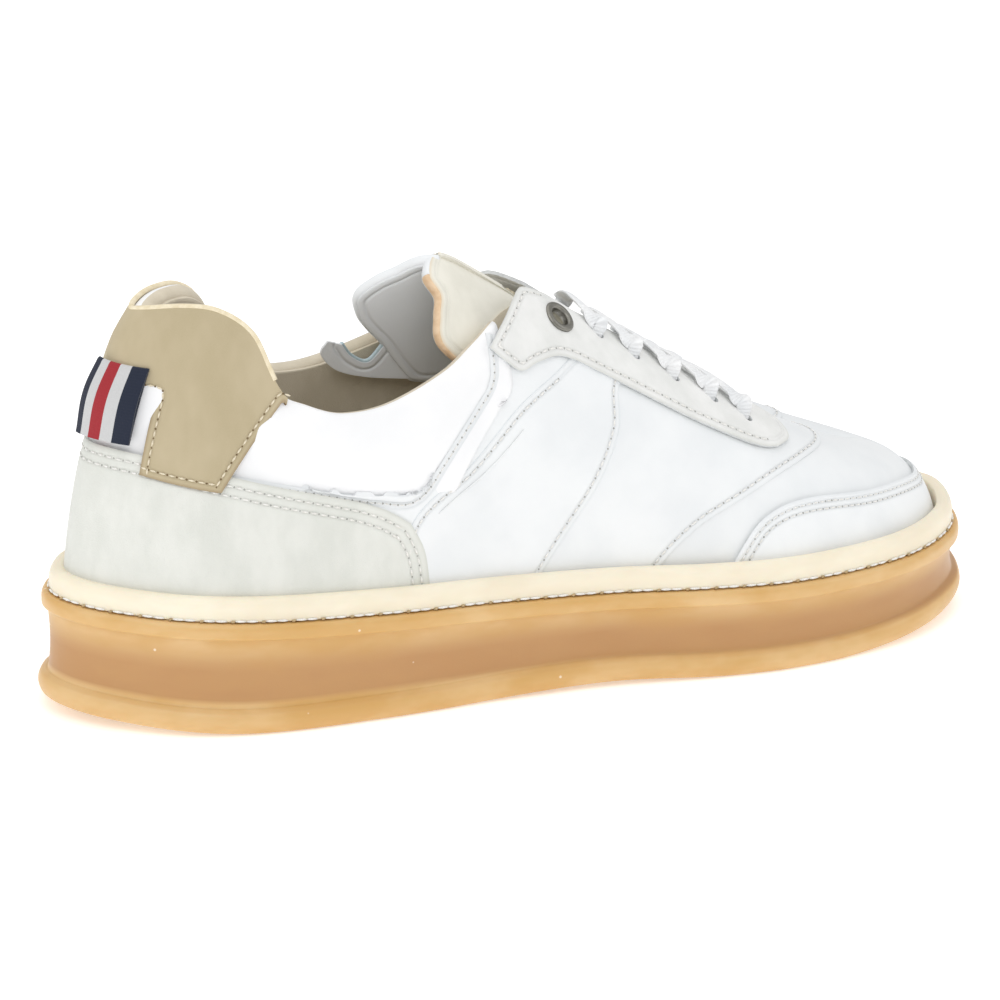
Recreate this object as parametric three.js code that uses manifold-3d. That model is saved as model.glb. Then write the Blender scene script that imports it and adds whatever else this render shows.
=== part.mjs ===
// Low court shoe, right foot, one shoe. Millimetres. +X is the toe, +Y the inner (medial) side, +Z up.
// The origin is under the middle of the shoe, on the ground.
// Every piece of the upper is a patch of one last surface, lasted(u, v, lift):
//   u runs round the feather edge, 0 at the heel, -1 at the toe by the outer side, +1 by the inner side;
//   v climbs the wall, 0 at the feather edge, 1 on the ridge over the instep;
//   lift is the distance outside the main leather's face, so stacked layers only differ in lift.
import * as THREE from "three";
import Module from "manifold-3d";

const wasm = await Module();
wasm.setup();

// Overall sizes
const LENGTH = 300;
const BALL_WIDTH = 102;
const UPPER_HEIGHT = 142; // highest point of the last, above the open collar
const MIDLINE = 1.886; // the heel's centre line lies this far to the inner side of the middle of the shoe

// Sole: heights at shares of the length, insets measured in from the widest outline
const GROUND = [[0, 4], [0.13, 0.5], [0.2, 0], [0.36, 0], [0.53, 1.2], [0.66, 0], [0.78, 0], [0.9, 2.4],
  [1, 6]];
const RIM = [[0, 35], [0.18, 32.5], [0.35, 30], [0.53, 28], [0.72, 26.3], [0.87, 26.3], [1, 27.5]];
const CUP_FLOOR = 7; // thickness of the outsole under the foot
const CUP_WALL = 8.1; // inset of the cup's inner wall
const WAIST = 5.3; // inset of the hollow in the side of the sole
const BEAD = 4; // inset of the upper bead
const FOXING_HEIGHT = 7;
const FOXING_OUT = 4.7;
const UPPER_INSET = 8.5; // inset of the main leather's face
const LASTING_DEPTH = 10.2; // how far the upper goes down inside the cup
const BOARD = 1.5;
const SOCKLINER = 4.5;
const INNER_INSET = 14.2;
const SHANK = { start: 0.3, end: 0.62, width: 16, thick: 1.2 };

// Layers of the upper, as [inner, outer] lift
const GAP = 0.35; // air between neighbouring pieces
const LEATHER = 1.2;
const OVERLAY = 1.1;
const LINING = 1;
const COLLAR_FOAM = 2.1;
const TONGUE_FOAM = 2.2;
const TONGUE_LEATHER = 0.8;
const LACE_THICK = 0.9;
const LACE_WIDTH = 7;
const EYELET = { flange: 4.4, barrel: 3.2, bore: 2.4, thick: 0.5 };
const HOLE_RADIUS = 2.6;
const LOOP = { width: 24, height: 23, ply: 0.9, gap: 0.5, stand: 0.5 };

// The last
const NEAR = [[0, 0], [0.01, -0.117], [0.04, -0.235], [0.1, -0.364], [0.183, -0.434], [0.3, -0.446],
  [0.417, -0.434], [0.533, -0.449], [0.633, -0.499], [0.717, -0.519], [0.8, -0.49], [0.873, -0.428],
  [0.933, -0.323], [0.977, -0.176], [1, 0.044]];
const FAR = [[0, 0], [0.01, 0.106], [0.04, 0.223], [0.1, 0.331], [0.18, 0.384], [0.283, 0.381],
  [0.4, 0.364], [0.517, 0.372], [0.617, 0.419], [0.7, 0.469], [0.783, 0.481], [0.86, 0.437],
  [0.93, 0.337], [0.977, 0.205], [1, 0.044]];
const SPINE = { heel: 0.2, toe: 0.86 }; // shares of the length between which the ridge runs
const SPINE_SIDE = [[0.2, -2.5], [0.4, -2], [0.6, 1], [0.75, 3], [0.87, 4]];
const RIDGE = [[0.2, 1], [0.3, 0.986], [0.4, 0.923], [0.48, 0.824], [0.56, 0.704], [0.66, 0.567],
  [0.76, 0.447], [0.87, 0.349]];
const FULLNESS = [[0.2, 1.9], [0.28, 1.95], [0.36, 2.1], [0.45, 2.3], [0.6, 2.35], [0.8, 2.3], [0.9, 2.3]];

// Pattern lines of the upper as [u, v] on one side; both sides use them
const COLLAR = [[0, 0.573], [0.06, 0.585], [0.13, 0.598], [0.18, 0.59], [0.229, 0.54], [0.272, 0.425],
  [0.3, 0.398], [0.335, 0.38], [0.374, 0.403], [0.411, 0.48], [0.433, 0.58], [0.444, 0.655]];
const PAD_SEAM = [[0, 0.322], [0.125, 0.318], [0.217, 0.295], [0.324, 0.242], [0.387, 0.19]];
const QUARTER_SEAM = [[0.387, 0.19], [0.429, 0.29], [0.458, 0.415], [0.462, 0.53], [0.444, 0.655]];
const THROAT_REAR = [[0.444, 0.655], [0.455, 0.77], [0.468, 0.86], [0.474, 0.9]];
const THROAT = [[0.474, 0.9], [0.56, 0.89], [0.64, 0.88], [0.7, 0.86]];
const VAMP_SEAM = [[0.548, 0], [0.552, 0.088], [0.579, 0.198], [0.616, 0.305], [0.656, 0.42], [0.689, 0.57],
  [0.7, 0.86]];
const MUDGUARD_TOP = [[0.598, 0.05], [0.603, 0.105], [0.63, 0.247], [0.672, 0.335], [0.75, 0.392],
  [0.825, 0.435], [0.92, 0.455], [1, 0.46]];
const LINING_FRONT = [[0.59, 0], [0.61, 0.2], [0.65, 0.42], [0.685, 0.58], [0.695, 0.85]];
const EYESTAY_LOW = [[0.442, 0.59], [0.46, 0.555], [0.496, 0.63], [0.525, 0.62], [0.6, 0.552],
  [0.645, 0.525], [0.668, 0.545]];
const EYESTAY_FRONT = [[0.668, 0.545], [0.69, 0.62], [0.698, 0.74], [0.69, 0.855]];
const EYESTAY_REAR = [[0.442, 0.59], [0.452, 0.69], [0.46, 0.78], [0.482, 0.89]];
const TAB_LOW = [[0, 0.41], [0.12, 0.41], [0.13, 0.39], [0.134, 0.335], [0.207, 0.32], [0.262, 0.43],
  [0.268, 0.44]];
const EYELET_AT = [0.495, 0.795];
const HOLES_AT = [[0.531, 0.81], [0.56, 0.775], [0.592, 0.74], [0.623, 0.7], [0.651, 0.655]];
const TONGUE = { tip: 0.345, root: 0.735, half: 0.38, sweep: 0.27 };

const COLOURS = {
  gum: 0xb87219, cream: 0xe9dcc0, white: 0xf0f0ee, suede: 0xd9d8cf, beige: 0xb09a70, navy: 0x1c2233,
  steel: 0x4a4a48, foam: 0xd8c9a0, board: 0xcabfa8, lace: 0xf4f4f2, grey: 0x9a9ea0, fibre: 0x5a5f55,
};

// ---------- curves ----------

// A smooth function through [x, y] points, flat-ended by the last chord.
function curveThrough(points) {
  const slope = (i) => {
    const a = points[Math.max(i - 1, 0)];
    const b = points[Math.min(i + 1, points.length - 1)];
    return (b[1] - a[1]) / (b[0] - a[0]);
  };
  return (x) => {
    let i = 0;
    while (i < points.length - 2 && x > points[i + 1][0]) i++;
    const [x0, y0] = points[i];
    const [x1, y1] = points[i + 1];
    const w = x1 - x0;
    const t = THREE.MathUtils.clamp((x - x0) / w, 0, 1);
    const s = 1 - t;
    return y0 * s * s * (1 + 2 * t) + y1 * t * t * (3 - 2 * t)
      + w * t * s * (slope(i) * s - slope(i + 1) * t);
  };
}

// A path through [u, v] points, taken by share of its control points.
function pathThrough(points) {
  const curve = new THREE.SplineCurve(points.map(([u, v]) => new THREE.Vector2(u, v)));
  return (s) => {
    const p = curve.getPoint(s);
    return [p.x, p.y];
  };
}

// ---------- sole outline ----------

// One side of the outline as a curve square to the axis at both ends.
function sideCurve(points) {
  const first = points[1];
  const last = points[points.length - 2];
  const before = [first[0], 2 * points[0][1] - first[1]];
  const after = [last[0], 2 * points.at(-1)[1] - last[1]];
  const ends = [before, ...points, after];
  return (s) => {
    const at = Math.min(Math.floor(s), points.length - 2);
    const t = s - at;
    const [p0, p1, p2, p3] = [0, 1, 2, 3].map((i) => ends[at + i]);
    return [0, 1].map((k) => 0.5 * (2 * p1[k] + (p2[k] - p0[k]) * t
      + (2 * p0[k] - 5 * p1[k] + 4 * p2[k] - p3[k]) * t * t
      + (3 * p1[k] - p0[k] - 3 * p2[k] + p3[k]) * t * t * t));
  };
}

const lengthShare = (u) => (1 - Math.cos(Math.PI * Math.abs(u))) / 2;
const wrapped = (u) => u - 2 * Math.floor((u + 1) / 2);
const SIDES = { near: sideCurve(NEAR), far: sideCurve(FAR) };

function outlineAt(uRaw) {
  const u = wrapped(uRaw);
  const side = u < 0 ? SIDES.near : SIDES.far;
  const share = lengthShare(u);
  let low = 0;
  let high = NEAR.length - 1;
  for (let i = 0; i < 30; i++) {
    const middle = (low + high) / 2;
    if (side(middle)[0] < share) low = middle;
    else high = middle;
  }
  const [x, y] = side((low + high) / 2);
  return new THREE.Vector2((x - 0.5) * LENGTH, y * BALL_WIDTH + MIDLINE);
}

const SAMPLES = 2000;
const OUTLINE = Array.from({ length: SAMPLES + 1 }, (_, i) => outlineAt(-1 + (2 * i) / SAMPLES));
OUTLINE[SAMPLES] = OUTLINE[0];
const OUTWARD = OUTLINE.map((_, i) => {
  const a = OUTLINE[(i + SAMPLES - 3) % SAMPLES];
  const b = OUTLINE[(i + 3) % SAMPLES];
  return new THREE.Vector2(a.y - b.y, b.x - a.x).normalize();
});

// The outline moved in by an inset.
function footprint(uRaw, inset) {
  const at = ((wrapped(uRaw) + 1) / 2) * SAMPLES;
  const i = Math.min(Math.floor(at), SAMPLES - 1);
  const p = OUTLINE[i].clone().lerp(OUTLINE[i + 1], at - i);
  return p.addScaledVector(OUTWARD[i].clone().lerp(OUTWARD[(i + 1) % SAMPLES], at - i), -inset);
}

const groundAt = curveThrough(GROUND);
const rimAt = curveThrough(RIM);
const shareOf = (x) => x / LENGTH + 0.5;
const groundZ = (x) => Math.max(0, groundAt(shareOf(x)));
const rimZ = (x) => rimAt(shareOf(x));
const cushionZ = (x) => rimZ(x) - LASTING_DEPTH - GAP;

// ---------- last surface ----------

const spineSide = curveThrough(SPINE_SIDE);
const ridgeShare = curveThrough(RIDGE);
const fullness = curveThrough(FULLNESS);

function spoke(u) {
  const foot = footprint(u, UPPER_INSET);
  const share = SPINE.heel + (SPINE.toe - SPINE.heel) * lengthShare(wrapped(u));
  return {
    foot,
    footZ: rimZ(footprint(u, 0).x) - LASTING_DEPTH,
    top: new THREE.Vector2((share - 0.5) * LENGTH, spineSide(share) + MIDLINE),
    topZ: ridgeShare(share) * UPPER_HEIGHT,
    power: 2 / fullness(share),
  };
}

function facePoint(u, v) {
  if (v > 1) return facePoint(-u, 2 - v);
  const { foot, footZ, top, topZ, power } = spoke(u);
  const turn = (Math.max(v, 0) * Math.PI) / 2;
  const p = top.clone().lerp(foot, Math.cos(turn) ** power);
  return new THREE.Vector3(p.x, p.y, footZ + (topZ - footZ) * Math.sin(turn) ** power);
}

const STEP = 1e-3;
const RIDGE_BAND = 0.985; // above this the two sides share one normal

function faceNormal(u, v) {
  if (v > RIDGE_BAND) {
    const here = faceNormal(u, RIDGE_BAND);
    const there = faceNormal(-u, RIDGE_BAND);
    const middle = here.clone().add(there).normalize();
    return here.lerp(middle, Math.min(1, (v - RIDGE_BAND) / (1 - RIDGE_BAND))).normalize();
  }
  const low = Math.max(v - STEP, 0);
  const along = facePoint(u + STEP, v).sub(facePoint(u - STEP, v));
  const up = facePoint(u, v + STEP).sub(facePoint(u, low));
  return up.cross(along).normalize();
}

const lasted = (u, v, lift) => facePoint(u, v).addScaledVector(faceNormal(u, v), lift);

// The v at which a spoke reaches a height.
function climbTo(u, z) {
  const { footZ, topZ, power } = spoke(u);
  return (Math.asin(((z - footZ) / (topZ - footZ)) ** (1 / power)) * 2) / Math.PI;
}

// ---------- solids ----------

// Closed geometry from points and quads, corners merged, flat faces dropped, facing out.
function closedGeometry(points, quads) {
  const seen = new Map();
  const kept = [];
  const index = points.map((p) => {
    const key = [p.x, p.y, p.z].map((c) => Math.round(c * 1000)).join();
    if (!seen.has(key)) {
      seen.set(key, kept.length);
      kept.push(p);
    }
    return seen.get(key);
  });
  const faces = [];
  for (const [a, b, c, d] of quads) {
    for (const face of [[a, b, c], [a, c, d]]) {
      const f = face.map((i) => index[i]);
      if (new Set(f).size === 3) faces.push(f);
    }
  }
  let volume = 0;
  for (const [a, b, c] of faces) volume += kept[a].dot(kept[b].clone().cross(kept[c]));
  if (volume < 0) faces.forEach((f) => f.reverse());
  const geometry = new THREE.BufferGeometry().setFromPoints(kept);
  geometry.setIndex(faces.flat());
  geometry.computeVertexNormals();
  return geometry;
}

// A sheet with thickness: the same grid of places at two lifts, joined by walls round its edge.
function sheet(place, rows, columns, [inner, outer], { ridge = false, trim = GAP / 2 } = {}) {
  const grids = [inner, outer].map((lift) => {
    const grid = [];
    for (let i = 0; i <= rows; i++) {
      grid.push(Array.from({ length: columns + 1 }, (_, j) => place(i / rows, j / columns, lift)));
    }
    return grid;
  });
  for (const grid of grids) trimEdges(grid, trim, ridge);
  const points = grids.flat(2);
  const layer = (rows + 1) * (columns + 1);
  const at = (k, i, j) => k * layer + i * (columns + 1) + j;
  const quads = [];
  for (let i = 0; i < rows; i++) {
    for (let j = 0; j < columns; j++) {
      quads.push([at(1, i, j), at(1, i + 1, j), at(1, i + 1, j + 1), at(1, i, j + 1)]);
      quads.push([at(0, i, j + 1), at(0, i + 1, j + 1), at(0, i + 1, j), at(0, i, j)]);
    }
    quads.push([at(0, i, 0), at(0, i + 1, 0), at(1, i + 1, 0), at(1, i, 0)]);
    if (ridge) continue;
    quads.push([at(1, i, columns), at(1, i + 1, columns), at(0, i + 1, columns), at(0, i, columns)]);
  }
  for (let j = 0; j < columns; j++) {
    quads.push([at(0, 0, j + 1), at(0, 0, j), at(1, 0, j), at(1, 0, j + 1)]);
    quads.push([at(1, rows, j + 1), at(1, rows, j), at(0, rows, j), at(0, rows, j + 1)]);
  }
  return closedGeometry(points, quads);
}

// Draws a grid's edges in, so that pieces which share a pattern line keep a gap.
function trimEdges(grid, trim, ridge) {
  const last = grid.length - 1;
  const end = grid[0].length - 1;
  const pull = (p, q) => {
    const step = q.clone().sub(p);
    p.addScaledVector(step.normalize(), trim);
  };
  for (let j = 0; j <= end; j++) {
    pull(grid[0][j], grid[1][j]);
    pull(grid[last][j], grid[last - 1][j]);
  }
  for (const row of grid) {
    pull(row[0], row[1]);
    if (!ridge) pull(row[end], row[end - 1]);
  }
}

// A four-sided patch of the last: places blend between four edge paths. side is -1 outer, +1 inner.
function patch(side, { low, high, rear, front }, rows, columns, lifts) {
  const place = (s, t, lift) => {
    const [a, b, c, d] = [low(s), high(s), rear(t), front(t)];
    const corners = [low(0), low(1), high(0), high(1)];
    const uv = [0, 1].map((k) => (1 - t) * a[k] + t * b[k] + (1 - s) * c[k] + s * d[k]
      - (1 - s) * (1 - t) * corners[0][k] - s * (1 - t) * corners[1][k]
      - (1 - s) * t * corners[2][k] - s * t * corners[3][k]);
    return lasted(side * uv[0], uv[1], lift);
  };
  return sheet(place, rows, columns, lifts);
}

// A piece that wraps round the heel or the toe between a lower and an upper line.
function wrap(centre, reach, low, high, rows, columns, lifts, options) {
  const place = (s, t, lift) => {
    const u = centre + reach * (2 * s - 1);
    const own = Math.abs(wrapped(u));
    return lasted(u, low(own) * (1 - t) + high(own) * t, lift);
  };
  return sheet(place, rows, columns, lifts, options);
}

// A piece that lies across the ridge, w = -1 to 1 from side to side.
function saddle(path, rows, columns, lifts) {
  const place = (s, t, lift) => {
    const [u, w] = path(s, 2 * t - 1);
    return lasted(w < 0 ? -u : u, 1 - Math.abs(w), lift);
  };
  return sheet(place, rows, columns, lifts, { trim: 0 });
}

// A stack of footprint rings, closed by a cap across the first and the last, or joined into a hoop.
const RING = 84;
function rings(levels, hoop = false) {
  const points = levels.flatMap(([inset, height]) => Array.from({ length: RING }, (_, i) => {
    const p = footprint(-1 + (2 * i) / RING, inset);
    return new THREE.Vector3(p.x, p.y, height(p.x));
  }));
  const at = (k, i) => (k % levels.length) * RING + ((i + RING) % RING);
  const quads = [];
  const turns = hoop ? levels.length : levels.length - 1;
  for (let k = 0; k < turns; k++) {
    for (let i = 0; i < RING; i++) quads.push([at(k, i), at(k, i + 1), at(k + 1, i + 1), at(k + 1, i)]);
  }
  if (!hoop) {
    for (let i = 0; i < RING / 2; i++) {
      quads.push([at(0, i + 1), at(0, i), at(0, -i), at(0, -i - 1)]);
      const k = levels.length - 1;
      quads.push([at(k, i), at(k, i + 1), at(k, -i - 1), at(k, -i)]);
    }
  }
  return closedGeometry(points, quads);
}

function solidOf(geometry) {
  return new wasm.Manifold(new wasm.Mesh({
    numProp: 3,
    vertProperties: new Float32Array(geometry.attributes.position.array),
    triVerts: new Uint32Array(geometry.index.array),
  }));
}

function cut(geometry, tools) {
  let solid = solidOf(geometry);
  for (const tool of tools) solid = solid.subtract(solidOf(tool));
  const { vertProperties, triVerts } = solid.getMesh();
  const made = new THREE.BufferGeometry();
  made.setAttribute("position", new THREE.BufferAttribute(vertProperties, 3));
  made.setIndex(new THREE.BufferAttribute(triVerts, 1));
  made.computeVertexNormals();
  return made;
}

// A turned profile of [radius, height] points, closed on itself.
function turned(profile, sides = 16) {
  const points = [];
  for (const [radius, height] of profile) {
    for (let i = 0; i < sides; i++) {
      const angle = (2 * Math.PI * i) / sides;
      points.push(new THREE.Vector3(radius * Math.cos(angle), radius * Math.sin(angle), height));
    }
  }
  const at = (k, i) => (k % profile.length) * sides + (i % sides);
  const quads = [];
  for (let k = 0; k < profile.length; k++) {
    for (let i = 0; i < sides; i++) quads.push([at(k, i), at(k, i + 1), at(k + 1, i + 1), at(k + 1, i)]);
  }
  return closedGeometry(points, quads);
}

// Turns a geometry built about +Z so that it stands on the last at [u, v].
function standOn(geometry, [u, v], side, lift = 0) {
  const up = new THREE.Vector3(0, 0, 1);
  const turn = new THREE.Quaternion().setFromUnitVectors(up, faceNormal(side * u, v));
  return geometry.applyQuaternion(turn).translate(...lasted(side * u, v, lift));
}

const post = (radius, low, high) => turned([[radius, low], [radius, high], [0, high], [0, low]], 10);

// ---------- pieces ----------

const shoe = new THREE.Group();

function add(name, geometry, colour, { roughness = 0.8, metalness = 0 } = {}) {
  const material = new THREE.MeshStandardMaterial({ color: colour, roughness, metalness });
  const mesh = new THREE.Mesh(geometry, material);
  mesh.name = name;
  shoe.add(mesh);
}

const above = (base, rise) => (x) => base(x) + rise;
const flat = (lift, thickness) => [lift - thickness, lift];
const MAIN = flat(0, LEATHER);
const OUTER = [GAP, GAP + OVERLAY];
const BACKING = flat(-LEATHER - GAP, 0.9);
const FOAM = flat(-LEATHER - GAP, COLLAR_FOAM);
const LINED = flat(FOAM[0] - GAP, LINING);
const TOE_LINED = flat(BACKING[0] - GAP, LINING);

function sole() {
  const waist = (share) => (x) => THREE.MathUtils.lerp(groundZ(x) + 9, rimZ(x) - 5, share);
  add("outsole", rings([
    [3.2, groundZ], [0.9, above(groundZ, 0.9)], [0, above(groundZ, 3.4)], [0.8, above(groundZ, 6.6)],
    [WAIST - 1.6, waist(0)], [WAIST, waist(0.5)], [WAIST - 0.3, waist(1)],
    [BEAD, above(rimZ, -3)], [BEAD + 0.2, above(rimZ, -0.7)], [BEAD + 1, rimZ],
    [CUP_WALL, rimZ], [CUP_WALL, above(groundZ, CUP_FLOOR)],
  ]), COLOURS.gum, { roughness: 0.45 });
  const inside = UPPER_INSET - OUTER[1] - GAP;
  add("foxing_strip", rings([
    [inside, above(rimZ, GAP)], [FOXING_OUT + 0.3, above(rimZ, GAP)], [FOXING_OUT, above(rimZ, 2.5)],
    [FOXING_OUT + 0.2, above(rimZ, FOXING_HEIGHT - 1.6)], [FOXING_OUT + 0.9, above(rimZ, FOXING_HEIGHT)],
    [inside, above(rimZ, FOXING_HEIGHT)],
  ], true), COLOURS.cream);
  const strip = (grow, low, high) => sheet((s, t, lift) => {
    const share = THREE.MathUtils.lerp(SHANK.start, SHANK.end, s) + (s - 0.5) * 2 * grow / LENGTH;
    const x = (share - 0.5) * LENGTH;
    return new THREE.Vector3(x, (t - 0.5) * (SHANK.width + 2 * grow) - 1, cushionZ(x) + lift);
  }, 10, 2, [low, high], { trim: 0 });
  const cushion = rings([
    [CUP_WALL + GAP, above(groundZ, CUP_FLOOR + GAP)], [CUP_WALL + GAP, cushionZ],
  ]);
  add("cushion_insert", cut(cushion, [strip(GAP, -SHANK.thick - 2 * GAP, 1)]), COLOURS.foam);
  add("shank", strip(0, -SHANK.thick - GAP, -GAP), COLOURS.fibre, { roughness: 0.5 });
  add("strobel_board", rings([
    [INNER_INSET - 0.2, above(cushionZ, GAP)], [INNER_INSET - 0.2, above(cushionZ, GAP + BOARD)],
  ]), COLOURS.board);
  const bed = GAP + BOARD + GAP;
  add("sockliner", rings([
    [INNER_INSET, above(cushionZ, bed)], [INNER_INSET, above(cushionZ, bed + SOCKLINER - 1)],
    [INNER_INSET + 1.2, above(cushionZ, bed + SOCKLINER)],
  ]), COLOURS.beige);
}

const rimLine = (u) => climbTo(u, rimZ(footprint(u, 0).x) + 0.6);
const collarLine = curveThrough(COLLAR);
const padSeam = curveThrough(PAD_SEAM);
const edge = (line, from, to) => (s) => {
  const u = THREE.MathUtils.lerp(from, to, s);
  return [u, line(u)];
};
const upright = (u, low, high) => (s) => [u, THREE.MathUtils.lerp(low, high, s)];
const shifted = (path, du, dv) => (s) => {
  const [u, v] = path(s);
  return [u + du, v + dv];
};
const chained = (...paths) => (s) => {
  const at = Math.min(Math.floor(s * paths.length), paths.length - 1);
  return paths[at](s * paths.length - at);
};

const HEEL_SEAM = 0.0025; // half the slit between the two sides at the heel
const FOAM_INSET = 0.03; // how far the foam stays inside its leather
const SEAM_ROWS = 12; // steps up the quarter, so that neighbours share their corners
const seamEnd = PAD_SEAM.at(-1);
const foot = [seamEnd[0] - 0.011, 0];
const quarterRear = chained(
  pathThrough([foot, [seamEnd[0] - 0.004, seamEnd[1] / 2], seamEnd]), pathThrough(QUARTER_SEAM),
  pathThrough(THROAT_REAR));
const vampSeam = pathThrough(VAMP_SEAM);
const eyestayHoles = (side, radius, low, high) => HOLES_AT
  .map((at) => standOn(post(radius, low, high), at, side))
  .concat([standOn(post(EYELET.barrel + 0.3, low, high), EYELET_AT, side)]);

function upperSide(side, name) {
  const cuts = () => eyestayHoles(side, HOLE_RADIUS, -4, 4);
  add(`quarter_${name}`, cut(patch(side, {
    low: (s) => [THREE.MathUtils.lerp(foot[0], VAMP_SEAM[0][0], s), 0],
    high: pathThrough(THROAT), rear: quarterRear, front: vampSeam,
  }, 12, SEAM_ROWS, MAIN), cuts()), COLOURS.white);
  add(`rear_quarter_${name}`, patch(side, {
    low: (s) => [THREE.MathUtils.lerp(HEEL_SEAM, foot[0], s), 0],
    high: edge(padSeam, HEEL_SEAM, seamEnd[0]), rear: upright(HEEL_SEAM, 0, PAD_SEAM[0][1]),
    front: pathThrough([foot, [seamEnd[0] - 0.004, seamEnd[1] / 2], seamEnd]),
  }, 12, SEAM_ROWS / 3, MAIN), COLOURS.suede);
  const collarEnd = COLLAR.at(-1)[0];
  add(`collar_panel_${name}`, patch(side, {
    low: edge(padSeam, HEEL_SEAM, seamEnd[0]), high: edge(collarLine, HEEL_SEAM, collarEnd),
    rear: upright(HEEL_SEAM, PAD_SEAM[0][1], COLLAR[0][1]), front: pathThrough(QUARTER_SEAM),
  }, 18, SEAM_ROWS / 3, MAIN), COLOURS.white, { roughness: 0.6 });
  add(`collar_foam_${name}`, patch(side, {
    low: shifted(edge(padSeam, 0.02, 0.375), 0, FOAM_INSET),
    high: shifted(edge(collarLine, 0.02, 0.428), 0, -FOAM_INSET),
    rear: upright(0.02, padSeam(0.02) + FOAM_INSET, collarLine(0.02) - FOAM_INSET),
    front: pathThrough([[0.375, padSeam(0.375) + FOAM_INSET], [0.414, 0.32], [0.437, 0.44],
      [0.428, collarLine(0.428) - FOAM_INSET]]),
  }, 14, 3, FOAM), COLOURS.foam);
  add(`eyestay_${name}`, cut(patch(side, {
    low: pathThrough(EYESTAY_LOW),
    high: pathThrough([[0.482, 0.89], [0.56, 0.88], [0.63, 0.87], [0.69, 0.855]]),
    rear: pathThrough(EYESTAY_REAR), front: pathThrough(EYESTAY_FRONT),
  }, 14, 4, OUTER), cuts()), COLOURS.suede);
  add(`eyestay_backing_${name}`, cut(patch(side, {
    low: pathThrough([[0.475, 0.7], [0.56, 0.68], [0.675, 0.62]]),
    high: pathThrough([[0.482, 0.88], [0.56, 0.87], [0.69, 0.845]]),
    rear: upright(0.475, 0.7, 0.88), front: upright(0.675, 0.62, 0.845),
  }, 10, 2, BACKING), cuts()), COLOURS.board);
  const liningTop = [[0.466, 0.83], [0.48, 0.88], [0.56, 0.87], [0.695, 0.85]];
  add(`quarter_lining_${name}`, patch(side, {
    low: (s) => [THREE.MathUtils.lerp(HEEL_SEAM, LINING_FRONT[0][0], s), 0],
    high: chained(shifted(edge(collarLine, HEEL_SEAM, 0.444), 0, -0.008),
      pathThrough([[0.444, 0.662], [0.458, 0.77], ...liningTop])),
    rear: upright(HEEL_SEAM, 0, collarLine(0) - 0.008), front: pathThrough(LINING_FRONT),
  }, 26, 6, LINED), COLOURS.beige);
  const barrelLow = LINED[1] + GAP;
  const flangeLow = OUTER[1] + 0.1;
  const flangeHigh = flangeLow + EYELET.thick;
  add(`eyelet_${name}`, standOn(turned([
    [EYELET.bore, barrelLow], [EYELET.barrel, barrelLow], [EYELET.barrel, flangeLow],
    [EYELET.flange, flangeLow], [EYELET.flange - 0.3, flangeHigh], [EYELET.bore + 0.3, flangeHigh],
    [EYELET.bore, flangeHigh - 0.3],
  ], 20), EYELET_AT, side), COLOURS.steel, { roughness: 0.35, metalness: 0.9 });
  add(`lining_seam_tape_${name}`, patch(side, {
    low: edge(() => 0.1, 0.29, 0.315), high: shifted(edge(collarLine, 0.29, 0.315), 0, -0.02),
    rear: upright(0.29, 0.1, collarLine(0.29) - 0.02), front: upright(0.315, 0.1, collarLine(0.315) - 0.02),
  }, 1, 6, flat(LINED[0] - GAP, 0.5)), COLOURS.grey);
}

function toe() {
  const throatEnd = VAMP_SEAM.at(-1);
  const full = (path) => (s, t, lift) => {
    const along = 1 - Math.abs(2 * s - 1);
    const [start, climb] = path(t);
    const u = THREE.MathUtils.lerp(start, 1, along);
    return lasted(s > 0.5 ? u : -u, THREE.MathUtils.lerp(climb, t, along), lift);
  };
  const vampEdge = (t) => {
    const step = t * (SEAM_ROWS + 1);
    if (step <= SEAM_ROWS) return vampSeam(step / SEAM_ROWS);
    const s = step - SEAM_ROWS;
    return [throatEnd[0] + 0.02 * s, THREE.MathUtils.lerp(throatEnd[1], 1, s)];
  };
  add("vamp", sheet(full(vampEdge), 26, SEAM_ROWS + 1, MAIN, { ridge: true }), COLOURS.white);
  const liningEdge = curveThrough(LINING_FRONT.map(([u, v]) => [v, u + 0.02]));
  const lining = sheet(full((t) => [liningEdge(t), t]), 22, 8, TOE_LINED, { ridge: true });
  add("vamp_lining", lining, COLOURS.beige);
  add("toe_puff", sheet(full((t) => [0.8 + 0.04 * t, t]), 16, 6, BACKING, { ridge: true }), COLOURS.board);
  const top = curveThrough(MUDGUARD_TOP);
  const reach = 1 - MUDGUARD_TOP[0][0];
  const overlayTop = (u) => Math.max(top(u), rimLine(u) + 0.03);
  add("toe_overlay", wrap(1, reach, rimLine, overlayTop, 36, 3, OUTER), COLOURS.white);
}

function heel() {
  const reach = seamEnd[0] + 0.012;
  const corner = (u) => Math.max(0, (u - seamEnd[0] + 0.012) / 0.024); // 0 to 1 over the rounded front corner
  const counterTop = (u) => padSeam(Math.min(u, seamEnd[0])) - 0.07 * corner(u) ** 2;
  add("heel_counter", wrap(0, reach, rimLine, counterTop, 30, 3, OUTER), COLOURS.suede);
  const stiffener = wrap(0, 0.36, () => 0.02, (u) => padSeam(u) - 0.012, 22, 3, BACKING);
  add("counter_stiffener", stiffener, COLOURS.board);
  const tabLow = curveThrough(TAB_LOW);
  const tabBottom = (u) => Math.min(tabLow(u), collarLine(u) - 0.02);
  const tab = wrap(0, TAB_LOW.at(-1)[0], tabBottom, (u) => collarLine(u) - 0.004, 38, 3, OUTER);
  add("heel_tab", tab, COLOURS.beige, { roughness: 0.9 });
  pullLoop();
}

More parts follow.
